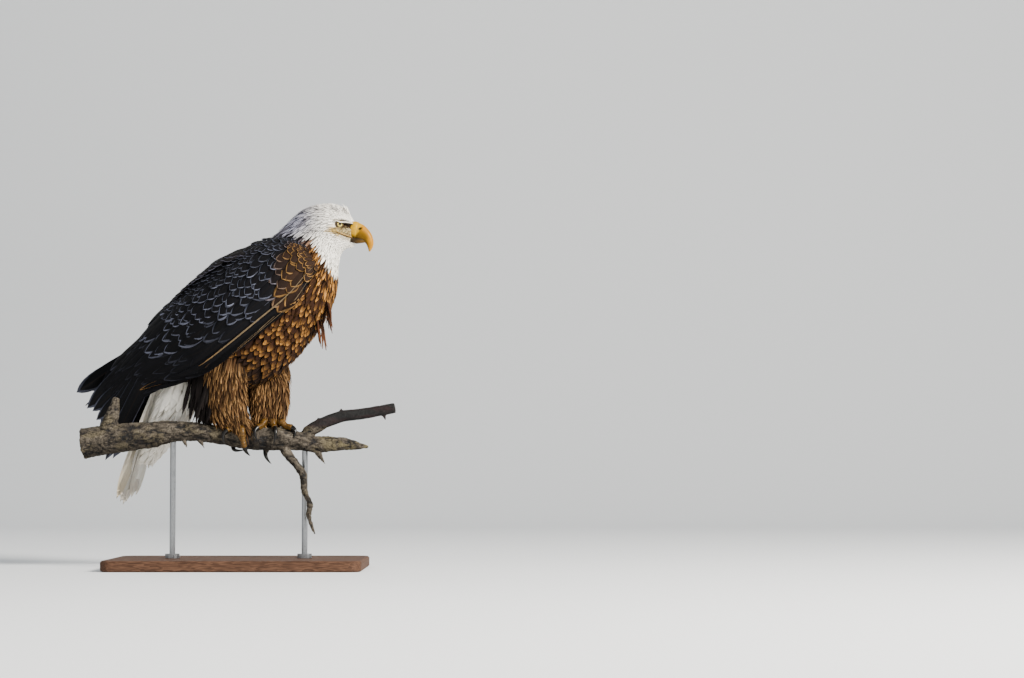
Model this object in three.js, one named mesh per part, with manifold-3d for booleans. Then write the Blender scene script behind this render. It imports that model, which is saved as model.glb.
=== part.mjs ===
// A life-size bald eagle, perched and still, on a short cut length of branch that two rods hold
// over a flat base. Millimetres, +Z up. The origin is the centre of the base's underside, +X runs
// along the branch and the bird faces +X, turned a little towards -Y.
import * as THREE from "three";
import { mergeVertices } from "three/addons/utils/BufferGeometryUtils.js";
import Module from "manifold-3d";

const wasm = await Module();
wasm.setup();

// ---- driving dimensions -------------------------------------------------------------------

const BODY_YAW = 21; // degrees that the bird is turned from +X towards -Y
const HEAD_TURN = 10; // degrees that the head is turned back from the body's line
const PERCH_X = -40; // where the branch's own frame stands along the base
const BIRD_X = 72; // where the bird's own upright axis stands along the branch
const NECK_PIVOT_X = 118; // the head turns about an upright axis here, in the bird's frame
const GAP = 0.35; // clearance between neighbouring solids
const CUT = 0.045; // the same clearance as a share of a station's length

const BASE_SIZE = [520, 320, 22];
const BASE_CORNER = 26;
const BASE_BEVEL = 3;
const ROD_RADIUS = 6;
const ROD_X = [-135, 135];
const COLLAR_RADIUS = 15;
const COLLAR_HEIGHT = 9;

// Sections of the bird from the root of the bill to the root of the tail. Each row is a slice that
// spans the outline's upper point (tx, tz) and lower point (bx, bz), with its half width.
const BODY = [
  [216.3, 706.0, 212.1, 666.0, 14.5],
  [206.8, 721.0, 207.8, 656.7, 20],
  [195.1, 735.1, 200.4, 651.6, 26],
  [179.2, 742.4, 194.0, 648.0, 31.5],
  [158.0, 744.8, 188.7, 642.5, 36],
  [134.6, 742.5, 185.5, 635.0, 39],
  [111.3, 734.0, 183.4, 624.5, 41.5],
  [90.0, 719.5, 182.0, 612.5, 45],
  [68.0, 700.0, 181.5, 599.5, 51],
  [44.0, 680.0, 181.5, 583.5, 60],
  [16.0, 665.0, 178.0, 563.5, 73],
  [-18.0, 653.0, 169.5, 540.3, 86],
  [-56.6, 635.0, 153.5, 511.5, 96],
  [-95.0, 610.0, 129.7, 477.5, 101],
  [-131.0, 582.0, 98.3, 441.5, 101],
  [-163.0, 554.0, 58.8, 405.0, 96],
  [-191.0, 526.0, 9.0, 376.0, 86],
  [-214.0, 498.0, -49.8, 365.0, 72],
  [-231.0, 470.0, -104.0, 370.0, 58],
  [-243.0, 444.0, -147.0, 379.0, 46],
  [-251.0, 422.0, -181.0, 383.0, 36],
  [-256.0, 402.0, -207.0, 379.0, 26],
];
const HEAD_END = 7; // the head's last section, and the neck's first
const NECK_END = 10; // the neck's last section, and the trunk's first
const BODY_SIDES = 18;
const [HEAD_RINGS, NECK_RINGS, TRUNK_RINGS] = [10, 4, 13];

// Relief of the head's side: [x, z, amount outwards, spread along, spread across, slope in degrees].
const HEAD_RELIEF = [
  [191, 700.5, -5.5, 9, 7, 0],
  [192, 713, 4.2, 17, 4.6, -9],
  [205, 695.5, -3.2, 8, 9, 0],
  [177, 681.5, 2.6, 17, 12, 0],
];

const EYE = { x: 189.6, y: 19.6, z: 699.4, radius: 9.6 };

// The bill as slices from its root to the tip of the hook: (culmen x, z), (cutting edge x, z), half width.
const BILL_UPPER = [
  [226, 703.6, 221.2, 669.7, 13.8],
  [231.8, 701.1, 226.2, 667.9, 13],
  [238.8, 696.3, 231.2, 666.3, 11.8],
  [245.6, 689.3, 235.6, 664.7, 10.4],
  [251.2, 681.3, 239, 662.5, 9],
  [255, 672.1, 241.6, 659.3, 7.4],
  [256.3, 662.3, 243.6, 655.3, 5.7],
  [254.6, 653.3, 245.3, 650.5, 4],
  [250, 645.1, 246.8, 644.9, 1.6],
];
const CERE = [
  [216.8, 706.9, 212.6, 672.3, 15],
  [221, 706.3, 216.6, 671.3, 15.2],
  [225.4, 704.7, 220.7, 670.1, 14.4],
];
const BILL_LOWER = [
  [212.8, 671.6, 212.6, 660.7, 12.6],
  [220.4, 669.1, 220.2, 658.9, 11.6],
  [228.4, 666.1, 228, 657.7, 9.6],
  [235.4, 663.7, 234.8, 657.9, 7],
  [240, 661.3, 239.8, 659.3, 3.4],
];

// The folded wing is a sheet between an upper edge by the backbone and a lower edge on the flank,
// both from the shoulder to the tip, for the right wing (y < 0).
const WING_UPPER = [
  [138, -46, 652],
  [90, -42, 673],
  [24, -38, 671],
  [-40, -30, 646],
  [-98, -25, 617],
  [-163, -20, 574],
  [-226, -16, 525],
  [-281, -14, 470],
  [-329, -12, 421],
  [-360, -11, 376],
];
const WING_LOWER = [
  [170, -58, 610],
  [160, -78, 584],
  [130, -94, 537],
  [68, -105, 487],
  [4, -107, 443],
  [-62, -100, 407],
  [-130, -82, 388],
  [-206, -58, 375],
  [-284, -34, 351],
  [-358, -14, 338],
];
const WING_SET = { right: 2, left: -10 }; // how far forward each whole wing is held
const WING_BULGE = [12, 23, 34, 40, 42, 38, 29, 18, 9, 2];
const WING_THICK = 9; // at the shoulder, falling to WING_THIN at the tip
const WING_THIN = 2.6;
const WING_SPLIT = 4.6; // the section that parts the arm from the long flight feathers
// Free tips of the outer flight feathers: [root x, y, z, tip x, y, z, width].
const PRIMARY_TIPS = {
  right: [
    [-300, -17, 410, -392, -8, 331, 34],
    [-292, -24, 382, -374, -16, 325, 28],
    [-286, -30, 366, -360, -24, 306, 26],
    [-268, -36, 376, -356, -20, 282, 34],
    [-250, -42, 386, -348, -22, 250, 36],
    [-226, -48, 394, -336, -26, 222, 38],
  ],
  left: [
    [-318, 15, 425, -424, 20, 366, 36],
    [-310, 20, 410, -404, 26, 372, 30],
    [-300, 26, 392, -386, 32, 346, 28],
    [-286, 30, 372, -368, 26, 306, 32],
    [-264, 38, 382, -354, 22, 262, 36],
    [-234, 46, 392, -338, 26, 226, 38],
  ],
};

const TAIL = { rootX: -218, rootZ: 400, length: 286, slope: 71.5, feathers: 7, spread: 2.1, width: 38, thick: 2.2 };
const TAIL_ROOT_PITCH = 4; // sideways step from one tail feather's root to the next
// White feathers under the root of the tail: [x, z of the upper side, x, z of the under side, half width].
const UNDERTAIL = [
  [-190, 404, -132, 392, 34],
  [-206, 378, -132, 362, 39],
  [-222, 342, -144, 326, 38],
  [-238, 302, -172, 286, 32],
  [-254, 262, -206, 246, 24],
  [-268, 226, -240, 214, 12],
];

// Feathered legs, from hip to ankle: [x, y, z, half length fore and aft, half width].
const THIGH = {
  right: [
    [-34, -52, 452, 56, 36],
    [-40, -50, 415, 50, 36],
    [-43, -45, 380, 43, 33],
    [-42, -37, 348, 37, 28],
    [-35, -29, 321, 29, 22],
    [-28, -24, 303, 17, 15],
  ],
  left: [
    [-6, 52, 436, 56, 36],
    [0, 50, 404, 52, 36],
    [8, 44, 374, 46, 33],
    [18, 36, 346, 39, 28],
    [27, 28, 322, 29, 22],
    [30, 22, 305, 17, 15],
  ],
};
const SHANK_RADIUS = 8.6;

// The branch: [x, y, z, radius]. The main limb ends in a broken point, and a second limb forks from it.
const LIMB_MAIN = [
  [-281, 4, 256, 32.5],
  [-236, 2, 263, 29.5],
  [-185, 0, 269.5, 28.5],
  [-133, -1, 275, 26],
  [-82, 0, 282, 20.5],
  [-31, 1, 277.5, 18.5],
  [20, 0, 270.5, 19],
  [68, -1, 266, 22.5],
  [113, 0, 266.5, 24.5],
  [152, 0, 263, 20],
  [195, -2, 255, 17],
  [240, -3, 255.5, 14.5],
  [280, -4, 252.5, 9.5],
  [305, -4, 249, 2.2],
];
const LIMB_UPPER = [
  [168, 5, 262, 10],
  [184, 7, 282, 12.5],
  [212, 8, 298, 12.5],
  [250, 10, 312, 12],
  [290, 10, 317, 11.5],
  [328, 9, 323.5, 11],
  [359, 8, 329.5, 10.5],
];
const TWIG = [
  [128, -7, 250, 9],
  [146, -15, 228, 9],
  [163, -20, 209, 8.5],
  [174, -24, 190, 7.5],
  [177, -25, 158, 6.5],
  [188, -26, 134, 6.5],
  [186, -27, 108, 5],
  [198, -27, 72, 2.2],
];
const STUMP = [
  [-226, -4, 270, 23],
  [-223, -3, 300, 17],
  [-217, -2, 326, 12],
  [-211, -2, 350, 6.5],
];
const THORN = [
  [196, -6, 247, 8],
  [206, -7, 232, 5],
  [217, -8, 214, 1.2],
];

// Feet: where each pad stands on the branch. Each toe runs along the branch from the pad and round it
// to an angle (from the top, positive towards -Y); its talon ends at an offset from the toe's end.
const FEET = {
  right: {
    x: 45,
    y: -4,
    toes: {
      inner: { run: 24, angle: -18, talon: [4, 12, -22] },
      middle: { run: 8, angle: 126, talon: [12, 5, -19] },
      outer: { run: -27, angle: 62, talon: [-3, -4, -30] },
      hind: { run: -18, angle: -130, talon: [25, -17, -9] },
    },
  },
  left: {
    x: 105,
    y: 4,
    toes: {
      inner: { run: -25, angle: 42, talon: [4, -6, -32] },
      middle: { run: 10, angle: 46, talon: [-2, -6, -35] },
      outer: { run: 44, angle: 24, talon: [4, -10, -22] },
      hind: { run: -12, angle: -142, talon: [12, -6, -27] },
    },
  },
};
const TOE_RADIUS = 7.6;
const TOE_TIP_RADIUS = 5.4;
const TALON_RADIUS = 5;
const PAD_RADIUS = 12;

// ---- colours ------------------------------------------------------------------------------

function finish(color, roughness, metalness = 0) {
  return new THREE.MeshStandardMaterial({ color, roughness, metalness });
}

const WHITE_FEATHER = finish(0xece7dc, 0.8);
const DARK_FEATHER = finish(0x15120f, 0.7);
const BROWN_FEATHER = finish(0x5a3515, 0.75);
const BILL_HORN = finish(0xd98a10, 0.35);
const CERE_SKIN = finish(0xe8b414, 0.45);
const EYE_GLASS = finish(0xe9d98a, 0.08);
const FOOT_SKIN = finish(0xb8791c, 0.55);
const TALON_HORN = finish(0x101014, 0.3);
const BARK = finish(0x5f5648, 0.9);
const BASE_WOOD = finish(0x3a2617, 0.5);
const ROD_STEEL = finish(0x8d8f92, 0.3, 1);

// ---- shapes -------------------------------------------------------------------------------

// Row u of a table, smooth between its rows (Catmull-Rom, with the end rows repeated).
function rowAt(table, u) {
  const last = table.length - 1;
  const i = Math.min(Math.max(Math.floor(u), 0), last - 1);
  const t = u - i;
  const p = [i - 1, i, i + 1, i + 2].map((k) => [].concat(table[Math.min(Math.max(k, 0), last)]));
  return p[1].map((_, c) => {
    const [a, b, d, e] = p.map((row) => row[c]);
    return b + 0.5 * t * (d - a + t * (2 * a - 5 * b + 4 * d - e + t * (3 * (b - d) + e - a)));
  });
}

// Triangles over a ring of points, zipped from one end of it to the other, so that a crescent closes too.
function zip(count) {
  const triangles = [];
  for (let [i, k] = [0, count - 1]; k - i > 1; ) {
    triangles.push([i, i + 1, k]);
    i += 1;
    if (k - i > 1) {
      triangles.push([i, k - 1, k]);
      k -= 1;
    }
  }
  return triangles;
}

// A closed solid from rings of points, each ring the same length. The quads from point `flipFrom` on are
// split along their other diagonal.
function ringsToGeometry(rings, flipFrom = Infinity) {
  const count = rings[0].length;
  const end = (rings.length - 1) * count;
  const index = [];
  for (const [i, j, k] of zip(count)) index.push(i, j, k, end + i, end + k, end + j);
  for (let j = 0; j < count; j++) {
    const k = (j + 1) % count;
    for (let a = 0; a < end; a += count) {
      const b = a + count;
      if (j < flipFrom) index.push(a + j, b + j, b + k, a + j, b + k, a + k);
      else index.push(a + j, b + j, a + k, b + j, b + k, a + k);
    }
  }
  return new THREE.BufferGeometry().setFromPoints(rings.flat()).setIndex(index);
}

// A manifold-3d solid of a three.js geometry, turned the right way out.
function solid(geometry) {
  const bare = geometry.clone();
  bare.deleteAttribute("normal");
  bare.deleteAttribute("uv");
  const merged = mergeVertices(bare, 1e-4);
  const vertProperties = merged.attributes.position.array;
  const triVerts = new Uint32Array(merged.index.array);
  const made = new wasm.Manifold(new wasm.Mesh({ numProp: 3, vertProperties, triVerts }));
  if (made.volume() > 0) return made;
  const turned = triVerts.slice();
  for (let i = 0; i < turned.length; i += 3) [turned[i], turned[i + 1]] = [turned[i + 1], turned[i]];
  return new wasm.Manifold(new wasm.Mesh({ numProp: 3, vertProperties, triVerts: turned }));
}

// A named mesh of a manifold-3d solid. Crumbs that a cut leaves beside the largest piece are dropped.
function mesh(name, body, material) {
  const largest = body.decompose().sort((a, b) => b.volume() - a.volume())[0];
  const { vertProperties, triVerts } = largest.getMesh();
  const geometry = new THREE.BufferGeometry();
  geometry.setAttribute("position", new THREE.BufferAttribute(vertProperties.slice(), 3));
  geometry.setIndex(new THREE.BufferAttribute(triVerts.slice(), 1));
  geometry.computeVertexNormals();
  const made = new THREE.Mesh(geometry, material);
  made.name = name;
  return made;
}

// Steps from a to b, both included.
function steps(a, b, count) {
  return Array.from({ length: count + 1 }, (_, i) => a + ((b - a) * i) / count);
}

// The head's turn, full over the head and fading to none down the neck.
function turned(point, u) {
  const share = 1 - THREE.MathUtils.smoothstep(u, HEAD_END - 1, NECK_END);
  const angle = THREE.MathUtils.degToRad(HEAD_TURN) * share;
  const pivot = new THREE.Vector3(NECK_PIVOT_X, 0, 0);
  return point.sub(pivot).applyAxisAngle(new THREE.Vector3(0, 0, 1), angle).add(pivot);
}

function headRelief(x, z) {
  return HEAD_RELIEF.reduce((sum, [cx, cz, amount, along, across, slope]) => {
    const a = THREE.MathUtils.degToRad(slope);
    const du = ((x - cx) * Math.cos(a) + (z - cz) * Math.sin(a)) / along;
    const dv = (-(x - cx) * Math.sin(a) + (z - cz) * Math.cos(a)) / across;
    return sum + amount * Math.exp(-(du * du + dv * dv));
  }, 0);
}

// One slice of a lofted form that spans an upper and a lower outline point, `grow` mm larger all round.
function slice([tx, tz, bx, bz, half], sides, grow, relief) {
  const length = Math.hypot(tx - bx, tz - bz);
  const stretch = (length / 2 + grow) / length;
  return steps(0, 2 * Math.PI, sides).slice(0, sides).map((angle) => {
    const x = (tx + bx) / 2 + (tx - bx) * stretch * Math.cos(angle);
    const z = (tz + bz) / 2 + (tz - bz) * stretch * Math.cos(angle);
    const side = -Math.sin(angle);
    const y = (half + grow) * side + (relief ? relief(x, z) * side * Math.abs(side) : 0);
    return new THREE.Vector3(x, y, z);
  });
}

// The bird's body between sections a and b of BODY.
function bodyPiece(a, b, count, grow = 0) {
  const rings = steps(a, b, count).map((u) => {
    const relief = u < HEAD_END ? headRelief : null;
    return slice(rowAt(BODY, u), BODY_SIDES, grow, relief).map((p) => turned(p, u));
  });
  return solid(ringsToGeometry(rings));
}

// A part of the bill or another form made of slices, turned with the head where `withHead` is set.
function slicedPiece(table, sides, count, withHead, grow = 0) {
  const rings = steps(0, table.length - 1, count).map((u) =>
    slice(rowAt(table, u), sides, grow, null).map((p) => (withHead ? turned(p, 0) : p)),
  );
  return solid(ringsToGeometry(rings));
}

// A round tube through rows of [x, y, z, radius] or [x, y, z, half depth, half width].
function tube(table, sides, count, grow = 0) {
  const rows = steps(0, table.length - 1, count).map((u) => rowAt(table, u));
  const centres = rows.map(([x, y, z]) => new THREE.Vector3(x, y, z));
  const rings = rows.map(([, , , depth, width = depth], i) => {
    const along = centres[Math.min(i + 1, count)].clone().sub(centres[Math.max(i - 1, 0)]).normalize();
    const seed = Math.abs(along.x) > 0.8 ? new THREE.Vector3(0, 1, 0) : new THREE.Vector3(1, 0, 0);
    const side = new THREE.Vector3().crossVectors(along, seed).normalize();
    const fore = new THREE.Vector3().crossVectors(side, along).normalize();
    return steps(0, 2 * Math.PI, sides).slice(0, sides).map((angle) =>
      centres[i].clone()
        .addScaledVector(fore, Math.cos(angle) * (depth + grow))
        .addScaledVector(side, Math.sin(angle) * (width + grow)),
    );
  });
  return solid(ringsToGeometry(rings));
}

// A flat blade from root to tip, widest past its middle, with its face across `normal`.
function blade(root, tip, width, thick, normal, bow = 0) {
  const along = tip.clone().sub(root);
  const across = new THREE.Vector3().crossVectors(normal, along).normalize();
  const out = new THREE.Vector3().crossVectors(along, across).normalize();
  const profile = [[0, 0.42], [0.5, 0.94], [0.86, 0.94], [1, 0.2]];
  const rings = profile.map(([t, share]) => {
    const centre = root.clone().addScaledVector(along, t).addScaledVector(out, bow * 4 * t * (1 - t));
    const [w, h] = [(width / 2) * share, thick / 2];
    return [[-w, 0], [0, -h], [w, 0], [0, h]].map(([a, b]) =>
      centre.clone().addScaledVector(across, a).addScaledVector(out, b),
    );
  });
  return solid(ringsToGeometry(rings));
}

const wingSide = (side) => (side === "right" ? 1 : -1);

// The folded wing's outer face at section s (shoulder 0, tip 9) and share t from upper to lower edge.
function wingPoint(side, s, t, depth) {
  const upper = new THREE.Vector3(...rowAt(WING_UPPER, s));
  const lower = new THREE.Vector3(...rowAt(WING_LOWER, s));
  const down = lower.clone().sub(upper);
  const out = new THREE.Vector3(0, down.z, -down.y).normalize();
  const [bulge] = rowAt(WING_BULGE, s);
  const point = upper.addScaledVector(down, t);
  point.addScaledVector(out, bulge * Math.sin(Math.PI * t) ** 0.75 - depth);
  point.x += WING_SET[side];
  point.y *= wingSide(side);
  return point;
}

// The wing's sheet between sections a and b, thick at the shoulder and thin at the tip and edges. Its two
// faces are split along the same diagonals, so that they never meet.
function wingSheet(side, a, b, count) {
  const last = WING_UPPER.length - 1;
  const shares = steps(0, 1, 6);
  const rings = steps(a, b, count).map((s) => {
    const thick = THREE.MathUtils.lerp(WING_THICK, WING_THIN, s / last);
    const outer = shares.map((t) => wingPoint(side, s, t, 0));
    const inner = shares.slice(1, -1).reverse().map((t) => wingPoint(side, s, t, thick));
    return [...outer, ...inner];
  });
  return solid(ringsToGeometry(rings, shares.length - 1));
}

// ---- body ---------------------------------------------------------------------------------

const END = BODY.length - 1;

function eyeSolid(side, grow = 0) {
  const ball = new THREE.SphereGeometry(EYE.radius + grow, 12, 8);
  ball.rotateX(Math.PI / 2);
  const place = turned(new THREE.Vector3(EYE.x, -EYE.y * wingSide(side), EYE.z), 0);
  return solid(ball.translate(place.x, place.y, place.z));
}

function head() {
  const whole = bodyPiece(0, HEAD_END - CUT, HEAD_RINGS);
  return whole.subtract(eyeSolid("right", GAP)).subtract(eyeSolid("left", GAP));
}

const headRoom = bodyPiece(0, HEAD_END - CUT, HEAD_RINGS, GAP);
const trunkRoom = bodyPiece(NECK_END, END, TRUNK_RINGS, GAP);
const fullBody = bodyPiece(HEAD_END - 0.1, NECK_END + 0.1, NECK_RINGS, GAP)
  .add(headRoom)
  .add(trunkRoom)
  .add(trunkRoom.translate([-GAP, 0, -GAP]));
const billRoom = headRoom.add(headRoom.translate([GAP, 0, 0]));
const tailRoot = new THREE.Vector3(TAIL.rootX, 0, TAIL.rootZ);

function tailFeathers(thick) {
  const slope = THREE.MathUtils.degToRad(TAIL.slope);
  const middle = (TAIL.feathers - 1) / 2;
  const blades = steps(-middle, middle, TAIL.feathers - 1).map((i) => {
    const fan = THREE.MathUtils.degToRad(i * TAIL.spread);
    const run = new THREE.Vector3(-Math.cos(slope) * Math.cos(fan), Math.sin(fan), -Math.sin(slope) * Math.cos(fan));
    const up = new THREE.Vector3(-Math.sin(slope), 0, Math.cos(slope));
    const reach = TAIL.length - 2.2 * i * i;
    const root = tailRoot.clone().addScaledVector(up, -1.1 * Math.abs(i));
    root.y += i * TAIL_ROOT_PITCH;
    return blade(root, root.clone().addScaledVector(run, reach), TAIL.width, thick, up);
  });
  return blades.reduce((all, next) => all.add(next));
}

function thighSolid(side, grow = 0) {
  return tube(THIGH[side], 14, 7, grow);
}

const undertail = slicedPiece(UNDERTAIL, 12, 6, false)
  .subtract(fullBody)
  .subtract(tailFeathers(TAIL.thick + 2 * GAP));
const undertailRoom = slicedPiece(UNDERTAIL, 12, 6, false, GAP);

const cere = slicedPiece(CERE, 12, 2, true);
const billLower = slicedPiece(BILL_LOWER, 10, 4, true);
const upperRoom = slicedPiece(CERE, 12, 2, true, GAP).add(slicedPiece(BILL_UPPER, 12, 9, true, GAP));

function wing(side, a, b, count, withTips) {
  let whole = wingSheet(side, a, b, count);
  if (withTips)
    for (const [rx, ry, rz, tx, ty, tz, width] of PRIMARY_TIPS[side]) {
      const out = new THREE.Vector3(0.2, -0.92 * wingSide(side), 0.35);
      whole = whole.add(blade(new THREE.Vector3(rx, ry, rz), new THREE.Vector3(tx, ty, tz), width, WING_THIN, out));
    }
  return [fullBody, thighSolid(side, GAP), undertailRoom, tailFeathers(TAIL.thick + 2 * GAP)]
    .reduce((left, room) => left.subtract(room), whole);
}

const bird = new THREE.Group();
bird.position.set(PERCH_X + BIRD_X, 0, 0);
bird.rotation.z = -THREE.MathUtils.degToRad(BODY_YAW);

bird.add(
  mesh("head", head(), WHITE_FEATHER),
  mesh("neck", bodyPiece(HEAD_END, NECK_END - CUT, NECK_RINGS), WHITE_FEATHER),
  mesh("trunk", bodyPiece(NECK_END, END, TRUNK_RINGS), BROWN_FEATHER),
  mesh("tail", tailFeathers(TAIL.thick).subtract(fullBody), WHITE_FEATHER),
  mesh("undertail_coverts", undertail, WHITE_FEATHER),
  mesh("cere", cere.subtract(billRoom), CERE_SKIN),
  mesh("bill_upper", slicedPiece(BILL_UPPER, 12, 9, true), BILL_HORN),
  mesh("bill_lower", billLower.subtract(billRoom).subtract(upperRoom), BILL_HORN),
);

for (const side of ["right", "left"]) {
  const last = WING_UPPER.length - 1;
  bird.add(
    mesh(`eye_${side}`, eyeSolid(side), EYE_GLASS),
    mesh(`wing_${side}_arm`, wing(side, 0, WING_SPLIT - CUT, 7, false), DARK_FEATHER),
    mesh(`wing_${side}_primaries`, wing(side, WING_SPLIT, last, 6, true), DARK_FEATHER),
    mesh(`thigh_${side}`, thighSolid(side).subtract(fullBody), BROWN_FEATHER),
  );
}

// ---- branch -------------------------------------------------------------------------------

const mainLimb = tube(LIMB_MAIN, 12, 19);
const mainRoom = tube(LIMB_MAIN, 12, 19, GAP);
const perch = new THREE.Group();
perch.position.set(PERCH_X, 0, 0);
perch.add(
  mesh("perch_limb", mainLimb, BARK),
  mesh("perch_fork", tube(LIMB_UPPER, 10, 8).subtract(mainRoom), BARK),
  mesh("perch_twig", tube(TWIG, 8, 9).subtract(mainRoom), BARK),
  mesh("perch_stump", tube(STUMP, 12, 4).subtract(mainRoom), BARK),
  mesh("perch_thorn", tube(THORN, 6, 3).subtract(mainRoom), BARK),
);

// ---- feet ---------------------------------------------------------------------------------

// The branch's middle and radius at x, then the point `lift` mm off its bark at an angle from the top.
function onBranch(x, degrees, lift) {
  const end = LIMB_MAIN.findIndex(([next]) => next > x);
  const [from, to] = [LIMB_MAIN[end - 1], LIMB_MAIN[end]];
  const [, y, z, radius] = rowAt(LIMB_MAIN, end - 1 + (x - from[0]) / (to[0] - from[0]));
  const angle = THREE.MathUtils.degToRad(degrees);
  const reach = radius + lift;
  return new THREE.Vector3(x, y - reach * Math.sin(angle), z + reach * Math.cos(angle));
}

// A toe's middle line: out of the pad, over a knuckle and round the branch.
function toeTable(foot, { run, angle }) {
  const start = THREE.MathUtils.radToDeg(Math.atan2(-foot.y, 22));
  return steps(0, 1, 5).map((t) => {
    const radius = THREE.MathUtils.lerp(TOE_RADIUS, TOE_TIP_RADIUS, t) + 0.7 * Math.cos(t * 4 * Math.PI);
    const knuckle = 3.2 * Math.sin(Math.PI * Math.min(1, t * 1.6));
    const p = onBranch(foot.x + run * t, THREE.MathUtils.lerp(start, angle, t), radius + 1 + knuckle);
    return [p.x, p.y, p.z, radius];
  });
}

// A talon: a curved cone that leaves the toe along its line and bends over to its tip.
function talonTable(foot, plan) {
  const toe = toeTable(foot, plan).map(([x, y, z]) => new THREE.Vector3(x, y, z));
  const start = toe[toe.length - 1];
  const along = start.clone().sub(toe[toe.length - 2]).normalize();
  const offset = new THREE.Vector3(...plan.talon);
  const knee = start.clone().addScaledVector(along, offset.length() * 0.55);
  const curve = new THREE.QuadraticBezierCurve3(start, knee, start.clone().add(offset));
  return curve.getPoints(5).map((p, i) => [p.x, p.y, p.z, TALON_RADIUS * (1 - i / 5) ** 0.7 + 0.5]);
}

for (const [side, foot] of Object.entries(FEET)) {
  const top = onBranch(foot.x, 0, 0);
  const thighEnd = THIGH[side][THIGH[side].length - 1];
  const ankle = new THREE.Vector3(thighEnd[0], thighEnd[1], 0).applyAxisAngle(new THREE.Vector3(0, 0, 1), bird.rotation.z);
  const shank = tube([
    [foot.x, foot.y, top.z + 7, PAD_RADIUS, PAD_RADIUS],
    [foot.x, foot.y, top.z + 13, SHANK_RADIUS + 1.5, SHANK_RADIUS + 1.5],
    [(foot.x + ankle.x + BIRD_X) / 2, (foot.y + ankle.y) / 2, thighEnd[2] + 4, SHANK_RADIUS, SHANK_RADIUS],
    [ankle.x + BIRD_X, ankle.y, thighEnd[2] + 30, SHANK_RADIUS, SHANK_RADIUS],
  ], 10, 6);
  const shankRoom = tube([
    [foot.x, foot.y, top.z + 7, PAD_RADIUS + GAP, PAD_RADIUS + GAP],
    [foot.x, foot.y, top.z + 14, PAD_RADIUS + GAP, PAD_RADIUS + GAP],
  ], 10, 1);
  const turn = THREE.MathUtils.radToDeg(bird.rotation.z);
  const thigh = thighSolid(side, GAP).rotate([0, 0, turn]).translate([BIRD_X, 0, 0]);
  const clearShank = shank.subtract(thigh).subtract(mainRoom);
  perch.add(mesh(`foot_${side}`, clearShank, FOOT_SKIN));
  let taken = shankRoom.add(tube([
    [foot.x, foot.y, top.z + 7, PAD_RADIUS + GAP, PAD_RADIUS + GAP],
    [foot.x, foot.y, top.z + 16, SHANK_RADIUS + 2, SHANK_RADIUS + 2],
  ], 10, 1)).add(thigh).add(mainRoom).add(shank);
  for (const [toe, plan] of Object.entries(foot.toes)) {
    const table = toeTable(foot, plan);
    const body = tube(table, 7, 5).subtract(taken);
    const room = tube(table, 7, 5, GAP);
    const talon = tube(talonTable(foot, plan), 6, 4).subtract(room).subtract(mainRoom);
    taken = taken.add(room);
    perch.add(mesh(`toe_${side}_${toe}`, body, FOOT_SKIN));
    perch.add(mesh(`talon_${side}_${toe}`, talon, TALON_HORN));
  }
}

// ---- stand --------------------------------------------------------------------------------

function roundedPlate([length, depth], corner) {
  const [x, y] = [length / 2, depth / 2];
  const shape = new THREE.Shape();
  shape.absarc(x - corner, y - corner, corner, 0, Math.PI / 2);
  shape.absarc(-x + corner, y - corner, corner, Math.PI / 2, Math.PI);
  shape.absarc(-x + corner, -y + corner, corner, Math.PI, 1.5 * Math.PI);
  shape.absarc(x - corner, -y + corner, corner, 1.5 * Math.PI, 2 * Math.PI);
  return shape;
}

function standBase() {
  const [length, depth, height] = BASE_SIZE;
  const inner = [length - 2 * BASE_BEVEL, depth - 2 * BASE_BEVEL];
  const plate = new THREE.ExtrudeGeometry(roundedPlate(inner, BASE_CORNER - BASE_BEVEL), {
    depth: height - 2 * BASE_BEVEL,
    bevelThickness: BASE_BEVEL,
    bevelSize: BASE_BEVEL,
    bevelSegments: 1,
    curveSegments: 4,
  });
  return solid(plate.translate(0, 0, BASE_BEVEL));
}

function uprightCylinder(radius, x, low, high, sides) {
  const rod = new THREE.CylinderGeometry(radius, radius, high - low, sides).rotateX(Math.PI / 2);
  return solid(rod.translate(x, 0, (low + high) / 2));
}

const stand = new THREE.Group();
stand.add(mesh("stand_base", standBase(), BASE_WOOD));
ROD_X.forEach((x, i) => {
  const floor = BASE_SIZE[2] + GAP;
  const top = onBranch(x - PERCH_X, 0, 0).z;
  const rod = uprightCylinder(ROD_RADIUS, x, floor, top, 12).subtract(mainRoom.translate([PERCH_X, 0, 0]));
  const collar = uprightCylinder(COLLAR_RADIUS, x, floor, floor + COLLAR_HEIGHT, 16)
    .subtract(uprightCylinder(ROD_RADIUS + GAP, x, 0, 60, 12));
  stand.add(mesh(`stand_rod_${i + 1}`, rod, ROD_STEEL), mesh(`stand_collar_${i + 1}`, collar, ROD_STEEL));
});

const eagle = new THREE.Group();
eagle.add(bird, perch, stand);
export default eagle;
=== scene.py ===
"""Life-size bald eagle gripping a cut branch, on a flat base with two rods.

The bird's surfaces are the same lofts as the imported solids: slices, tubes and wing sheets given by
rows of a table, smooth between the rows. One skin lies inside them by the depth of the plumage, and
every feather is a closed vane that lies on those surfaces along their own two parameters.
Tables are in millimetres in the bird's own frame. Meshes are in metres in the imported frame.
"""

from __future__ import annotations

import logging
from dataclasses import dataclass, field
from enum import Enum
from typing import Any, Callable

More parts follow.
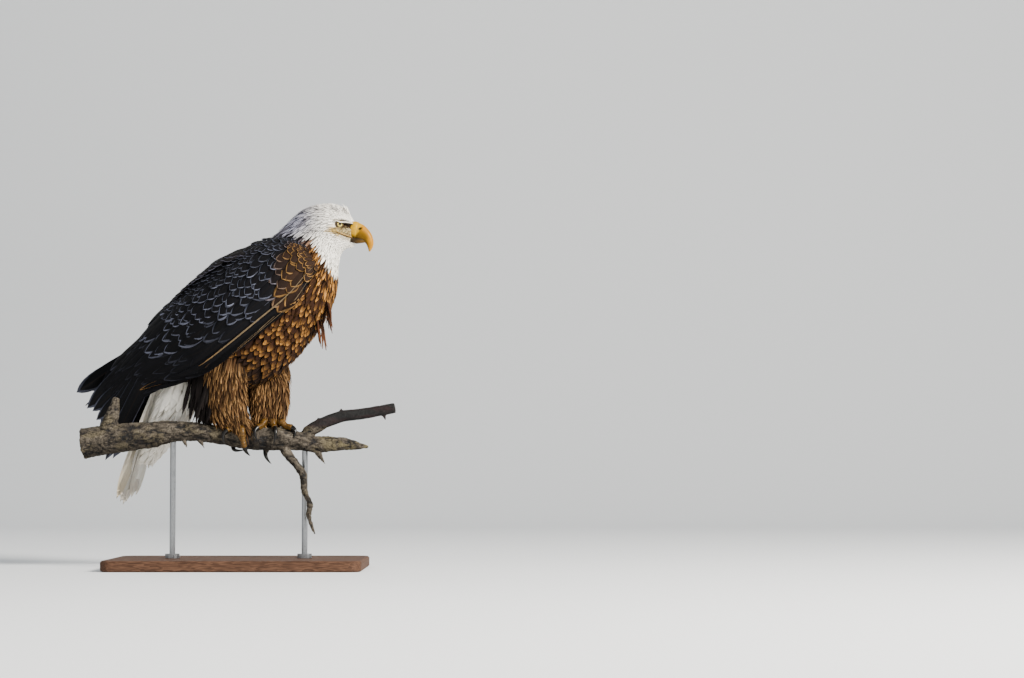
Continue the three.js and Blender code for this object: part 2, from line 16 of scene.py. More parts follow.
import bpy
import numpy as np
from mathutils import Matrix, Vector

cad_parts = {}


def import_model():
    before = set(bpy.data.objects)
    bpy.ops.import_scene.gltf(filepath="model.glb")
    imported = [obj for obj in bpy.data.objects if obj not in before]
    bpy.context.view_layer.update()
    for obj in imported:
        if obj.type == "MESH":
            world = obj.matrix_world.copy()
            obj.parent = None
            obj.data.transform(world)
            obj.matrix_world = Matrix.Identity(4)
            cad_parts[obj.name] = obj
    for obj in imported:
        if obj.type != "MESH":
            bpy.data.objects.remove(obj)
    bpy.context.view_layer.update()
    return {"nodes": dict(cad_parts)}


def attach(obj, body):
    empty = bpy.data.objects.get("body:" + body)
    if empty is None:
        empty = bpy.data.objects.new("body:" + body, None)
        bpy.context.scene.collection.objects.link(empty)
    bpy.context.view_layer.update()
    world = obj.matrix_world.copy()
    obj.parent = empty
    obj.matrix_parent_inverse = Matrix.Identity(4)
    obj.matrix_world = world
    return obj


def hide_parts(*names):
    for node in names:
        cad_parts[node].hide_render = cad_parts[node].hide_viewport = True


LOG = logging.getLogger("eagle")
Array = np.ndarray
MM = 0.001
SEED = 20


# ---- numbers ------------------------------------------------------------------------------


def srgb(code: str) -> Array:
    """Turn a hex colour such as '#a0b0c0' into linear red, green and blue."""
    values = np.array([int(code[i : i + 2], 16) for i in (1, 3, 5)]) / 255
    return np.where(values <= 0.04045, values / 12.92, ((values + 0.055) / 1.055) ** 2.4)


def hue(code: str) -> Any:
    """A dataclass field that holds a hex colour in linear values."""
    return field(default_factory=lambda: srgb(code))


def listed(*rows: list[float]) -> Any:
    """A dataclass field that holds rows of numbers."""
    return field(default_factory=lambda: np.array(rows, float))


def blend(a: Array, b: Array, share: Array) -> Array:
    """Go from a at share 0 to b at share 1, as a(1 - share) + b share."""
    return a * (1 - share) + b * share


def rimmed(colour: Array, strength: Array) -> Array:
    """A rim for each feather: its colour, or one colour for all, then its strength."""
    strength = np.reshape(strength, (-1, 1))
    return np.concatenate([np.broadcast_to(colour, (len(strength), 3)), strength], 1)


def spun(x: Array, y: Array, angle: Array) -> tuple[Array, Array]:
    """Turn x and y by an angle in radians."""
    return x * np.cos(angle) - y * np.sin(angle), x * np.sin(angle) + y * np.cos(angle)


def ring_grid(end: float, rows: int, sides: int) -> tuple[Array, Array]:
    """u from 0 to end in so many rows, and v once round in so many sides."""
    return np.meshgrid(np.linspace(0, end, rows), np.linspace(0, 1, sides, endpoint=False), indexing="ij")


def smoothstep(low: float, high: float, x: Array) -> Array:
    """Rise from 0 at low to 1 at high as 3t^2 - 2t^3."""
    t = np.clip((x - low) / (high - low), 0, 1)
    return t * t * (3 - 2 * t)


def bump(x: Array, centre: float, spread: float) -> Array:
    """A bell of height 1: e to the minus square of the distance over the spread."""
    return np.exp(-(((x - centre) / spread) ** 2))


def unit(v: Array) -> Array:
    """Scale vectors on the last axis to length 1."""
    return v / (np.linalg.norm(v, axis=-1, keepdims=True) + 1e-12)


def rows_at(table: Array, u: Array) -> Array:
    """Catmull-Rom through a table's rows, with the end rows repeated.

    Args:
        table: rows by columns.
        u: places along the rows, any shape.

    Returns:
        An array of u's shape with one more axis for the columns.
    """
    last = len(table) - 1
    i = np.clip(np.floor(u).astype(int), 0, last - 1)
    t = (u - i)[..., None]
    a, b, c, d = (table[np.clip(i + k, 0, last)] for k in (-1, 0, 1, 2))
    return b + 0.5 * t * (c - a + t * (2 * a - 5 * b + 4 * c - d + t * (3 * (b - c) + d - a)))


def noise(points: Array, scale: float, seed: int = 0) -> Array:
    """Value noise from -1 to 1: random corner values of a cube grid, blended smoothly inside each cube.

    Args:
        points: places, with x, y, z last.
        scale: a cube's side.
        seed: for the corner values.

    Returns:
        A value for each place.
    """
    p = points / scale
    cell = np.floor(p).astype(np.int64)
    f = p - cell
    f = f * f * (3 - 2 * f)
    total = np.zeros(p.shape[:-1])
    for corner in np.ndindex(2, 2, 2):
        key = (cell + corner) * np.array([73856093, 19349663, 83492791]) + seed * 2654435
        key = (key[..., 0] ^ key[..., 1] ^ key[..., 2]) & 0xFFFFFFFF
        key = ((key ^ (key >> 15)) * 2246822519) & 0xFFFFFFFF
        value = (key ^ (key >> 13)) % 65536 / 32767.5 - 1
        weight = np.prod(np.where(np.array(corner), f, 1 - f), axis=-1)
        total += value * weight
    return total


def fractal(points: Array, scale: float, octaves: int = 3, seed: int = 0) -> Array:
    """Sum noise at halving scales and halving strengths."""
    return sum(noise(points, scale / 2**k, seed + k) / 2**k for k in range(octaves))


# ---- sizes shared with the solids -----------------------------------------------------------

PERCH_X = -40.0
BIRD_X = 72.0
BODY_YAW = 21.0
HEAD_TURN = 10.0
NECK_PIVOT_X = 118.0
HEAD_END = 7.0
NECK_END = 10.0

BODY = np.array([
    [216.3, 706.0, 212.1, 666.0, 14.5],
    [206.8, 721.0, 207.8, 656.7, 20],
    [195.1, 735.1, 200.4, 651.6, 26],
    [179.2, 742.4, 194.0, 648.0, 31.5],
    [158.0, 744.8, 188.7, 642.5, 36],
    [134.6, 742.5, 185.5, 635.0, 39],
    [111.3, 734.0, 183.4, 624.5, 41.5],
    [90.0, 719.5, 182.0, 612.5, 45],
    [68.0, 700.0, 181.5, 599.5, 51],
    [44.0, 680.0, 181.5, 583.5, 60],
    [16.0, 665.0, 178.0, 563.5, 73],
    [-18.0, 653.0, 169.5, 540.3, 86],
    [-56.6, 635.0, 153.5, 511.5, 96],
    [-95.0, 610.0, 129.7, 477.5, 101],
    [-131.0, 582.0, 98.3, 441.5, 101],
    [-163.0, 554.0, 58.8, 405.0, 96],
    [-191.0, 526.0, 9.0, 376.0, 86],
    [-214.0, 498.0, -49.8, 365.0, 72],
    [-231.0, 470.0, -104.0, 370.0, 58],
    [-243.0, 444.0, -147.0, 379.0, 46],
    [-251.0, 422.0, -181.0, 383.0, 36],
    [-256.0, 402.0, -207.0, 379.0, 26],
])
HEAD_RELIEF = [
    (191, 700.5, -5.5, 9, 7, 0),
    (192, 713, 4.2, 17, 4.6, -9),
    (205, 695.5, -3.2, 8, 9, 0),
    (177, 681.5, 2.6, 17, 12, 0),
]
UNDERTAIL = np.array([
    [-190, 404, -132, 392, 34],
    [-206, 378, -132, 362, 39],
    [-222, 342, -144, 326, 38],
    [-238, 302, -172, 286, 32],
    [-254, 262, -206, 246, 24],
    [-268, 226, -240, 214, 12],
], float)
WING_UPPER = np.array([
    [138, -46, 652],
    [90, -42, 673],
    [24, -38, 671],
    [-40, -30, 646],
    [-98, -25, 617],
    [-163, -20, 574],
    [-226, -16, 525],
    [-281, -14, 470],
    [-329, -12, 421],
    [-360, -11, 376],
], float)
WING_LOWER = np.array([
    [170, -58, 610],
    [160, -78, 584],
    [130, -94, 537],
    [68, -105, 487],
    [4, -107, 443],
    [-62, -100, 407],
    [-130, -82, 388],
    [-206, -58, 375],
    [-284, -34, 351],
    [-358, -14, 338],
], float)
WING_BULGE = np.array([[12], [23], [34], [40], [42], [38], [29], [18], [9], [2]], float)
THIGH = {
    "right": np.array([
        [-34, -52, 452, 56, 36],
        [-40, -50, 415, 50, 36],
        [-43, -45, 380, 43, 33],
        [-42, -37, 348, 37, 28],
        [-35, -29, 321, 29, 22],
        [-28, -24, 303, 17, 15],
    ], float),
    "left": np.array([
        [-6, 52, 436, 56, 36],
        [0, 50, 404, 52, 36],
        [8, 44, 374, 46, 33],
        [18, 36, 346, 39, 28],
        [27, 28, 322, 29, 22],
        [30, 22, 305, 17, 15],
    ], float),
}
EYE_X, EYE_Y, EYE_Z = 189.6, 19.6, 699.4
LIMB_MAIN = np.array([
    [-281, 4, 256, 32.5],
    [-236, 2, 263, 29.5],
    [-185, 0, 269.5, 28.5],
    [-133, -1, 275, 26],
    [-82, 0, 282, 20.5],
    [-31, 1, 277.5, 18.5],
    [20, 0, 270.5, 19],
    [68, -1, 266, 22.5],
    [113, 0, 266.5, 24.5],
    [152, 0, 263, 20],
    [195, -2, 255, 17],
    [240, -3, 255.5, 14.5],
    [280, -4, 252.5, 9.5],
    [305, -4, 249, 2.2],
])


class Side(Enum):
    """The bird's own right or left, with the sign of its y."""

    RIGHT = -1
    LEFT = 1

    @property
    def word(self) -> str:
        """The side's word in node names."""
        return self.name.lower()

    @property
    def held(self) -> float:
        """How far forward this side's wing is held, in mm."""
        return 2.0 if self is Side.RIGHT else -10.0


def bird_to_row(p: Array) -> Array:
    """Turn the bird's own frame by its yaw about the upright axis and set it on the branch, in mm."""
    x, y = spun(p[..., 0], p[..., 1], np.radians(-BODY_YAW))
    return np.stack([x + BIRD_X + PERCH_X, y, p[..., 2]], -1)


def turn_head(p: Array, u: Array) -> Array:
    """Turn points about the neck's upright axis, in full over the head and fading down the neck.

    Args:
        p: points in mm.
        u: the section that each lies on.

    Returns:
        The turned points.
    """
    share = 1 - smoothstep(HEAD_END - 1, NECK_END, u)
    x, y = spun(p[..., 0] - NECK_PIVOT_X, p[..., 1], np.radians(HEAD_TURN) * share)
    return np.stack([NECK_PIVOT_X + x, y, p[..., 2]], -1)


# ---- surfaces -------------------------------------------------------------------------------


@dataclass
class Surface:
    """A surface of two parameters: u along the lie of the feathers, by the table's rows, and v across."""

    table: Array = field(default_factory=lambda: BODY)
    inset: float = 0.0

    @property
    def last(self) -> float:
        """The greatest u that the table covers."""
        return len(self.table) - 1.0

    def raw(self, u: Array, v: Array) -> Array:
        """The point at u, v in the bird's frame, for u inside the tables."""
        raise NotImplementedError

    def point(self, u: Array, v: Array) -> Array:
        """The point at u, v in the bird's frame, carried on in a straight line past the ends.

        Args:
            u: places along the lie.
            v: places across it.

        Returns:
            The points.
        """
        inside = np.clip(u, 0, self.last)
        step = np.where(u > self.last / 2, -0.02, 0.02)
        base = self.raw(inside, v)
        slope = (self.raw(inside + step, v) - base) / step[..., None]
        return base + slope * (u - inside)[..., None]

    def frame(self, u: Array, v: Array) -> tuple[Array, Array, Array, Array]:
        """The point, both derivatives and the outward normal, by differences.

        Args:
            u: along the lie.
            v: across it.

        Returns:
            The point, the derivative along u, the one along v, and the unit normal.
        """
        h = 0.01
        p = self.point(u, v)
        pu = (self.point(u + h, v) - self.point(u - h, v)) / (2 * h)
        pv = (self.point(u, v + h * 0.2) - self.point(u, v - h * 0.2)) / (0.4 * h)
        return p, pu, pv, unit(np.cross(pv, pu)) * self.outward

    @property
    def outward(self) -> float:
        """The sign that turns the cross product of the derivatives outwards."""
        return -1.0


@dataclass
class SliceSurface(Surface):
    """A form made of slices, each spanning an upper and a lower outline point with a half width.

    A slice at u is an ellipse: from its middle, the cosine of the angle times half the span along the
    span, and minus its sine times the half width across. The angle is v turns from the upper point.
    """

    is_body: bool = True

    def unturned(self, u: Array, v: Array) -> Array:
        """The point before the head's turn.

        Args:
            u: places along the lie.
            v: places across it.

        Returns:
            The points.
        """
        tx, tz, bx, bz, half = np.moveaxis(rows_at(self.table, u), -1, 0)
        angle = 2 * np.pi * v
        length = np.hypot(tx - bx, tz - bz)
        stretch = (length / 2 - self.inset) / length * np.cos(angle)
        x = (tx + bx) / 2 + (tx - bx) * stretch
        z = (tz + bz) / 2 + (tz - bz) * stretch
        side = -np.sin(angle)
        y = (half - self.inset) * side
        if self.is_body:
            y = y + self.relief(x, z) * side * np.abs(side) * (u < HEAD_END)
        return np.stack([x, y, z], -1)

    @staticmethod
    def relief(x: Array, z: Array) -> Array:
        """Bells raised on or sunk into the head's sides: the brow, the eye's hollow, the lore, the cheek.

        Args:
            x: fore and aft.
            z: height.

        Returns:
            How far each place is raised or sunk.
        """
        total = np.zeros_like(x)
        for cx, cz, amount, along, across, slope in HEAD_RELIEF:
            du, dv = spun(x - cx, z - cz, -np.radians(slope))
            total = total + amount * np.exp(-((du / along) ** 2 + (dv / across) ** 2))
        return total

    def raw(self, u: Array, v: Array) -> Array:
        """The point at u, v in the bird's frame."""
        p = self.unturned(u, v)
        return turn_head(p, u) if self.is_body else p

    def locate(self, x: Array, z: Array, side: Side) -> tuple[Array, Array]:
        """Find u and v of the head's surface at x, z of its unturned frame, by Newton's steps.

        Args:
            x: fore and aft.
            z: height.
            side: which side of the head.

        Returns:
            u and v.
        """
        u = np.full(np.shape(x), 2.5)
        v = np.full(np.shape(x), 0.25 if side is Side.RIGHT else 0.75)
        for _ in range(14):
            h = 1e-3
            p = self.unturned(u, v)
            du = (self.unturned(u + h, v) - p) / h
            dv = (self.unturned(u, v + h) - p) / h
            ex, ez = x - p[..., 0], z - p[..., 2]
            det = du[..., 0] * dv[..., 2] - du[..., 2] * dv[..., 0]
            det = np.where(np.abs(det) < 1e-6, 1e-6, det)
            u = u + np.clip((ex * dv[..., 2] - ez * dv[..., 0]) / det, -0.5, 0.5)
            v = v + np.clip((ez * du[..., 0] - ex * du[..., 2]) / det, -0.04, 0.04)
            u = np.clip(u, 0.02, HEAD_END - 0.05)
        return u, v


@dataclass
class TubeSurface(Surface):
    """A tube through rows of x, y, z, half depth and half width, round a smooth middle line."""

    def raw(self, u: Array, v: Array) -> Array:
        """The middle line's point plus the two half widths times the angle's cosine and sine.

        Args:
            u: places along the lie.
            v: places across it.

        Returns:
            The points.
        """
        row = rows_at(self.table, u)
        along = unit((rows_at(self.table, u + 0.05) - rows_at(self.table, u - 0.05))[..., :3])
        upright = np.ptp(self.table[:, 0]) < np.ptp(self.table[:, 2])
        side = unit(np.cross(along, [1.0, 0, 0] if upright else [0, 1.0, 0]))
        fore = np.cross(side, along)
        depth = row[..., 3:4] - self.inset
        width = row[..., -1:] - self.inset
        angle = (2 * np.pi * v)[..., None]
        return row[..., :3] + fore * np.cos(angle) * depth + side * np.sin(angle) * width

    @property
    def outward(self) -> float:
        """The normals of a tube already point out."""
        return 1.0


@dataclass
class WingSurface(Surface):
    """The folded wing's outer face: u from shoulder to tip, v from its upper edge to its lower edge.

    The face bows out between the edges by the bulge times the sine of pi v to the power of 3/4.
    """

    table: Array = field(default_factory=lambda: WING_UPPER)
    side: Side = Side.RIGHT

    def raw(self, u: Array, v: Array) -> Array:
        """The point at u, v in the bird's frame.

        Args:
            u: places along the lie.
            v: places across it.

        Returns:
            The points.
        """
        upper, lower = rows_at(self.table, u), rows_at(WING_LOWER, u)
        down = lower - upper
        out = unit(np.stack([np.zeros_like(u), down[..., 2], -down[..., 1]], -1))
        share = np.sin(np.pi * np.clip(v, 0, 1)) ** 0.75
        bulge = rows_at(WING_BULGE, u)[..., 0] * share
        p = upper + down * v[..., None] + out * (bulge - self.inset)[..., None]
        return p * np.array([1.0, -float(self.side.value), 1.0]) + np.array([self.side.held, 0, 0])

    @property
    def outward(self) -> float:
        """The sign that turns the cross product of the derivatives outwards."""
        return -1.0 if self.side is Side.RIGHT else 1.0


# ---- meshes ---------------------------------------------------------------------------------


@dataclass
class Patchwork:
    """Vertices, triangles and what each vertex carries, gathered before a mesh is made of them."""

    points: Array
    triangles: Array
    vane: Array | None = None
    bake: Array | None = None
    tint: Array | None = None
    edge: Array | None = None

    @staticmethod
    def joined(parts: list["Patchwork"]) -> "Patchwork":
        """Join several into one, with the triangles' indices moved along.

        Args:
            parts: what to join.

        Returns:
            All of it as one.
        """
        starts = np.cumsum([0] + [len(p.points) for p in parts[:-1]])
        cat = lambda name: (
            None if getattr(parts[0], name) is None else np.concatenate([getattr(p, name) for p in parts])
        )
        triangles = np.concatenate([p.triangles + s for p, s in zip(parts, starts)])
        return Patchwork(cat("points"), triangles, cat("vane"), cat("bake"), cat("tint"), cat("edge"))

    def to_object(self, name: str, finish: FeatherFinish | SkinFinish | None = None) -> bpy.types.Object:
        """Make a Blender object of the patchwork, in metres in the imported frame.

        Args:
            name: the name of the piece and of its material.
            finish: its finish.

        Returns:
            The object, linked to the scene.
        """
        mesh = bpy.data.meshes.new(name)
        tri = np.ascontiguousarray(self.triangles, np.int32)
        mesh.vertices.add(len(self.points))
        mesh.vertices.foreach_set("co", (bird_to_row(self.points) * MM).astype(np.float32).ravel())
        mesh.loops.add(tri.size)
        mesh.loops.foreach_set("vertex_index", tri.ravel())
        mesh.polygons.add(len(tri))
        mesh.polygons.foreach_set("loop_start", np.arange(0, tri.size, 3, dtype=np.int32))
        mesh.update(calc_edges=True)
        mesh.shade_smooth()
        for label, values in (("vane", self.vane), ("OFBake", self.bake)):
            if values is not None:
                layer = mesh.uv_layers.new(name=label)
                layer.uv.foreach_set("vector", values[tri.ravel()].astype(np.float32).ravel())
        for label, values in (("tint", self.tint), ("edge", self.edge)):
            if values is not None:
                paint(mesh, label, values)
        if finish is not None:
            mesh.materials.append(finish.build(name))
        return placed(name, mesh)


def paint(mesh: bpy.types.Mesh, label: str, colours: Array) -> None:
    """Write the vertices' colours to an attribute, with alpha 1 where they have none.

    Args:
        mesh: what is painted.
        label: the attribute's name.
        colours: one row a vertex.
    """
    if colours.shape[1] == 3:
        colours = np.concatenate([colours, np.ones((len(colours), 1))], 1)
    layer = mesh.attributes.new(label, "FLOAT_COLOR", "POINT")
    layer.data.foreach_set("color", colours.astype(np.float32).ravel())


def placed(name: str, data: Any) -> bpy.types.Object:
    """An object of a mesh, a lamp or a camera, linked to the scene.

    Args:
        name: the object's name.
        data: what it shows.

    Returns:
        The object.
    """
    thing = bpy.data.objects.new(name, data)
    bpy.context.scene.collection.objects.link(thing)
    return thing


def fused(forms: bpy.types.Object, name: str, voxel: float, rounds: int) -> tuple[bpy.types.Mesh, Array]:
    """Join overlapping closed forms into one surface by a voxel grid, and smooth it.

    Args:
        forms: the forms, which are used up.
        name: the new mesh's name.
        voxel: the grid's step in mm.
        rounds: how often it is smoothed.

    Returns:
        The mesh and its vertices in metres.
    """
    remesh = forms.modifiers.new("join", "REMESH")
    remesh.mode = "VOXEL"
    remesh.voxel_size = voxel * MM
    smooth = forms.modifiers.new("soften", "SMOOTH")
    smooth.iterations = rounds
    mesh = bpy.data.meshes.new_from_object(forms.evaluated_get(bpy.context.evaluated_depsgraph_get()))
    bpy.data.objects.remove(forms)
    mesh.name = name
    mesh.shade_smooth()
    points = np.empty(len(mesh.vertices) * 3, np.float32)
    mesh.vertices.foreach_get("co", points)
    return mesh, points.reshape(-1, 3)


def grid_triangles(rows: int, columns: int, wrap: bool = False) -> Array:
    """Two triangles for each cell of a grid of rows by columns points, closed round where wrap is set.

    Args:
        rows: how many rows.
        columns: how many points in a row.
        wrap: whether each row closes on itself.

    Returns:
        Rows of three indices.
    """
    i, j = np.meshgrid(np.arange(rows - 1), np.arange(columns if wrap else columns - 1), indexing="ij")
    k = (j + 1) % columns
    a, b, c, d = i * columns + j, i * columns + k, (i + 1) * columns + k, (i + 1) * columns + j
    return np.stack([np.stack([a, b, c], -1), np.stack([a, c, d], -1)], 2).reshape(-1, 3)


def outward_tube(rings: Array) -> tuple[Array, Array]:
    """A closed body of rings with its faces out, told by the sign of its volume.

    Args:
        rings: rings by points by 3.

    Returns:
        Vertices, with each end's middle point last, and triangles.
    """
    count, sides = rings.shape[:2]
    points = np.concatenate([rings.reshape(-1, 3), rings[0].mean(0)[None], rings[-1].mean(0)[None]])
    j = np.arange(sides)
    k = (j + 1) % sides
    first, final = count * sides, count * sides + 1
    start = np.stack([np.full(sides, first), k, j], -1)
    end = np.stack([np.full(sides, final), (count - 1) * sides + j, (count - 1) * sides + k], -1)
    triangles = np.concatenate([grid_triangles(count, sides, wrap=True), start, end])
    a, b, c = (points[triangles[:, i]] for i in range(3))
    return (points, triangles) if np.sum(np.cross(a, b) * c) > 0 else (points, triangles[:, ::-1])


def capped(tint: Array) -> Array:
    """The colours of a tube's rings, then of its two end points."""
    flat = tint.reshape(-1, 3)
    return np.concatenate([flat, flat[:1], flat[-1:]])


# ---- materials ------------------------------------------------------------------------------


class Graph:
    """A short way to write a material's nodes."""

    def __init__(self, name: str) -> None:
        """Start an empty material of that name with one Principled shader.

        Args:
            name: the material's name.
        """
        self.material = bpy.data.materials.new(name)
        self.material.use_nodes = True
        self.tree = self.material.node_tree
        self.shader = self.tree.nodes["Principled BSDF"]

    def set(self, **values: Any) -> None:
        """Set the shader's own sockets, with underscores for the spaces in their names."""
        for key, value in values.items():
            self.shader.inputs[key.replace("_", " ")].default_value = value

    def node(self, kind: str, **options: Any) -> bpy.types.Node:
        """Add a node and set its properties.

        Args:
            kind: the node's type.
            options: its properties.

        Returns:
            The node.
        """
        made = self.tree.nodes.new(kind)
        for key, value in options.items():
            setattr(made, key, value)
        return made

    def feed(self, socket: Any, value: Any) -> None:
        """Link a socket to an output, or set its value.

        Args:
            socket: the input.
            value: an output or a plain value.
        """
        if isinstance(value, bpy.types.NodeSocket):
            self.tree.links.new(value, socket)
        else:
            socket.default_value = value

    def math(self, operation: str, a: Any, b: Any = 0.0, c: Any = 0.0) -> Any:
        """One Math node's output.

        Args:
            operation: what it does.
            a: the first input.
            b: the second.
            c: the third.

        Returns:
            The output.
        """
        made = self.node("ShaderNodeMath", operation=operation)
        for socket, value in zip(made.inputs, (a, b, c)):
            self.feed(socket, value)
        return made.outputs[0]

    def ramp(self, value: Any, low: float, high: float, start: float = 0.0, end: float = 1.0) -> Any:
        """A smooth step from start at low to end at high.

        Args:
            value: what is compared.
            low: where it starts.
            high: where it ends.
            start: the output there.
            end: the output at the end.

        Returns:
            The output.
        """
        made = self.node("ShaderNodeMapRange", interpolation_type="SMOOTHSTEP")
        for socket, item in zip(made.inputs, (value, low, high, start, end)):
            self.feed(socket, item)
        return made.outputs[0]

    def mix(self, a: Any, b: Any, share: Any, blend: str = "MIX") -> Any:
        """Blend two colours.

        Args:
            a: the first colour.
            b: the second.
            share: of the second.
            blend: how they are joined.

        Returns:
            The output.
        """
        made = self.node("ShaderNodeMix", data_type="RGBA", blend_type=blend)
        for socket, item in zip((made.inputs[6], made.inputs[7], made.inputs[0]), (a, b, share)):
            if not isinstance(item, bpy.types.NodeSocket) and np.ndim(item) == 1:
                item = (*np.asarray(item, float)[:3], 1.0)
            self.feed(socket, item)
        return made.outputs[2]

    def attribute(self, name: str) -> bpy.types.Node:
        """An Attribute node."""
        return self.node("ShaderNodeAttribute", attribute_name=name)

    def place(self) -> Any:
        """The Object coordinates."""
        return self.node("ShaderNodeTexCoord").outputs["Object"]

    def noise(self, scale: float, detail: float = 3.0, vector: Any = None, rough: float = 0.55) -> Any:
        """Noise at a scale, on Object coordinates unless another vector is given.

        Args:
            scale: its scale.
            detail: its octaves.
            vector: where it is read.
            rough: the weight of its finer octaves.

        Returns:
            The output.
        """
        made = self.node("ShaderNodeTexNoise")
        self.feed(made.inputs["Vector"], self.place() if vector is None else vector)
        made.inputs["Scale"].default_value = scale
        made.inputs["Detail"].default_value = detail
        made.inputs["Roughness"].default_value = rough
        return made.outputs["Fac"]

    def stretched(self, x: float, y: float, z: float) -> Any:
        """Object coordinates scaled along each axis.

        Args:
            x: the scale along X.
            y: along Y.
            z: along Z.

        Returns:
            The output.
        """
        made = self.node("ShaderNodeMapping")
        self.feed(made.inputs["Vector"], self.place())
        made.inputs["Scale"].default_value = (x, y, z)
        return made.outputs[0]

    def relief(self, height: Any, strength: float, distance: float) -> None:
        """Feed a height to the shader's normal.

        Args:
            height: the output to raise by.
            strength: its share.
            distance: the height of 1, in metres.
        """
        made = self.node("ShaderNodeBump")
        made.inputs["Strength"].default_value = strength
        made.inputs["Distance"].default_value = distance
        self.feed(made.inputs["Height"], height)
        self.feed(self.shader.inputs["Normal"], made.outputs[0])

    def colour(self, value: Any) -> None:
        """Feed the base colour."""
        self.feed(self.shader.inputs["Base Color"], value)


@dataclass(frozen=True)
class FeatherFinish:
    """A vane: its tint, a rim of another colour round the tip, a shaft line and slanting barbs."""

    roughness: float = 0.78
    rim: tuple[float, float] = (0.74, 0.96)
    shaft: float = 0.35
    barbs: float = 60.0
    ripple: float = 0.12
    gloss: float = 0.1
    patchy: float = 0.14
    relief: float = 0.2

    def build(self, name: str) -> bpy.types.Material:
        """Make the material. It reads the vane map: across from 0 to 1, and root to tip from 0 to 1.

        Args:
            name: the material's name.

        Returns:
            The material.
        """
        g = Graph(name)
        uv = g.node("ShaderNodeUVMap", uv_map="vane").outputs[0]
        split = g.node("ShaderNodeSeparateXYZ")
        g.feed(split.inputs[0], uv)
        across = g.math("ABSOLUTE", g.math("MULTIPLY_ADD", split.outputs[0], 2.0, -1.0))
        along = split.outputs[1]
        beyond = g.math("MAXIMUM", g.math("DIVIDE", g.math("SUBTRACT", along, 0.62), 0.38), 0.0)
        radius = g.math("SQRT", g.math("ADD", g.math("POWER", beyond, 2.0), g.math("POWER", across, 2.0)))
        tint, edge = g.attribute("tint"), g.attribute("edge")
        rim = g.math("MULTIPLY", g.ramp(radius, *self.rim), edge.outputs["Alpha"])
        rim = g.math("MULTIPLY", rim, g.ramp(along, 0.3, 0.6))
        slant = g.math("ADD", along, g.math("MULTIPLY", across, 0.22))
        wave = g.math("SINE", g.math("MULTIPLY", slant, self.barbs * 6.28))
        colour = g.mix(tint.outputs["Color"], edge.outputs["Color"], rim)
        shade = g.math("MULTIPLY_ADD", wave, self.ripple, 1.0)
        cloud = g.ramp(g.noise(160.0), 0.3, 0.7, 1 - self.patchy, 1 + 0.8 * self.patchy)
        patchy = g.math("MULTIPLY", shade, cloud)
        shaft = g.math("MULTIPLY", g.ramp(across, 0.03, 0.09, 1.0, 0.0), self.shaft)
        grey = g.node("ShaderNodeCombineColor")
        for socket in grey.inputs[:3]:
            g.feed(socket, patchy)
        colour = g.mix(colour, grey.outputs[0], 1.0, "MULTIPLY")
        colour = g.mix(colour, srgb("#1a120c"), shaft)
        g.colour(colour)
        g.set(Roughness=self.roughness, Specular_IOR_Level=self.gloss)
        g.relief(g.math("ADD", wave, g.math("MULTIPLY", shaft, 3.0)), self.relief, 0.0003)
        return g.material


DOWNY = FeatherFinish(shaft=0.0, barbs=14.0, ripple=0.04, patchy=0.03)


@dataclass(frozen=True)
class SkinFinish:
    """Skin, horn or bark painted by the tint attribute, with fine pores and folds."""

    roughness: float = 0.55
    pores: float = 900.0
    depth: float = 0.0002
    coat: float = 0.0
    mottle: float = 0.25
    subsurface: float = 0.0
    gloss: float = 0.18
    speck: float = 0.0

    def build(self, name: str) -> bpy.types.Material:
        """Make the material.

        Args:
            name: the material's name.

        Returns:
            The material.
        """
        g = Graph(name)
        tint = g.attribute("tint").outputs["Color"]
        grain = g.noise(self.pores, 4.0)
        broad = g.noise(self.pores / 6, 3.0)
        shade = g.node("ShaderNodeCombineColor")
        value = g.ramp(broad, 0.3, 0.7, 1 - self.mottle, 1 + self.mottle * 0.5)
        if self.speck:
            value = g.math("MULTIPLY", value, g.ramp(grain, 0.38, 0.62, 1 - self.speck, 1 + self.speck))
        for socket in shade.inputs[:3]:
            g.feed(socket, value)
        g.colour(g.mix(tint, shade.outputs[0], 1.0, "MULTIPLY"))
        g.set(Roughness=self.roughness, Specular_IOR_Level=self.gloss)
        g.set(Coat_Weight=self.coat, Coat_Roughness=0.15)
        if self.subsurface:
            g.set(Subsurface_Weight=self.subsurface, Subsurface_Scale=0.002)
        g.relief(g.math("ADD", grain, broad), 0.5, self.depth)
        return g.material


# ---- feathers -------------------------------------------------------------------------------


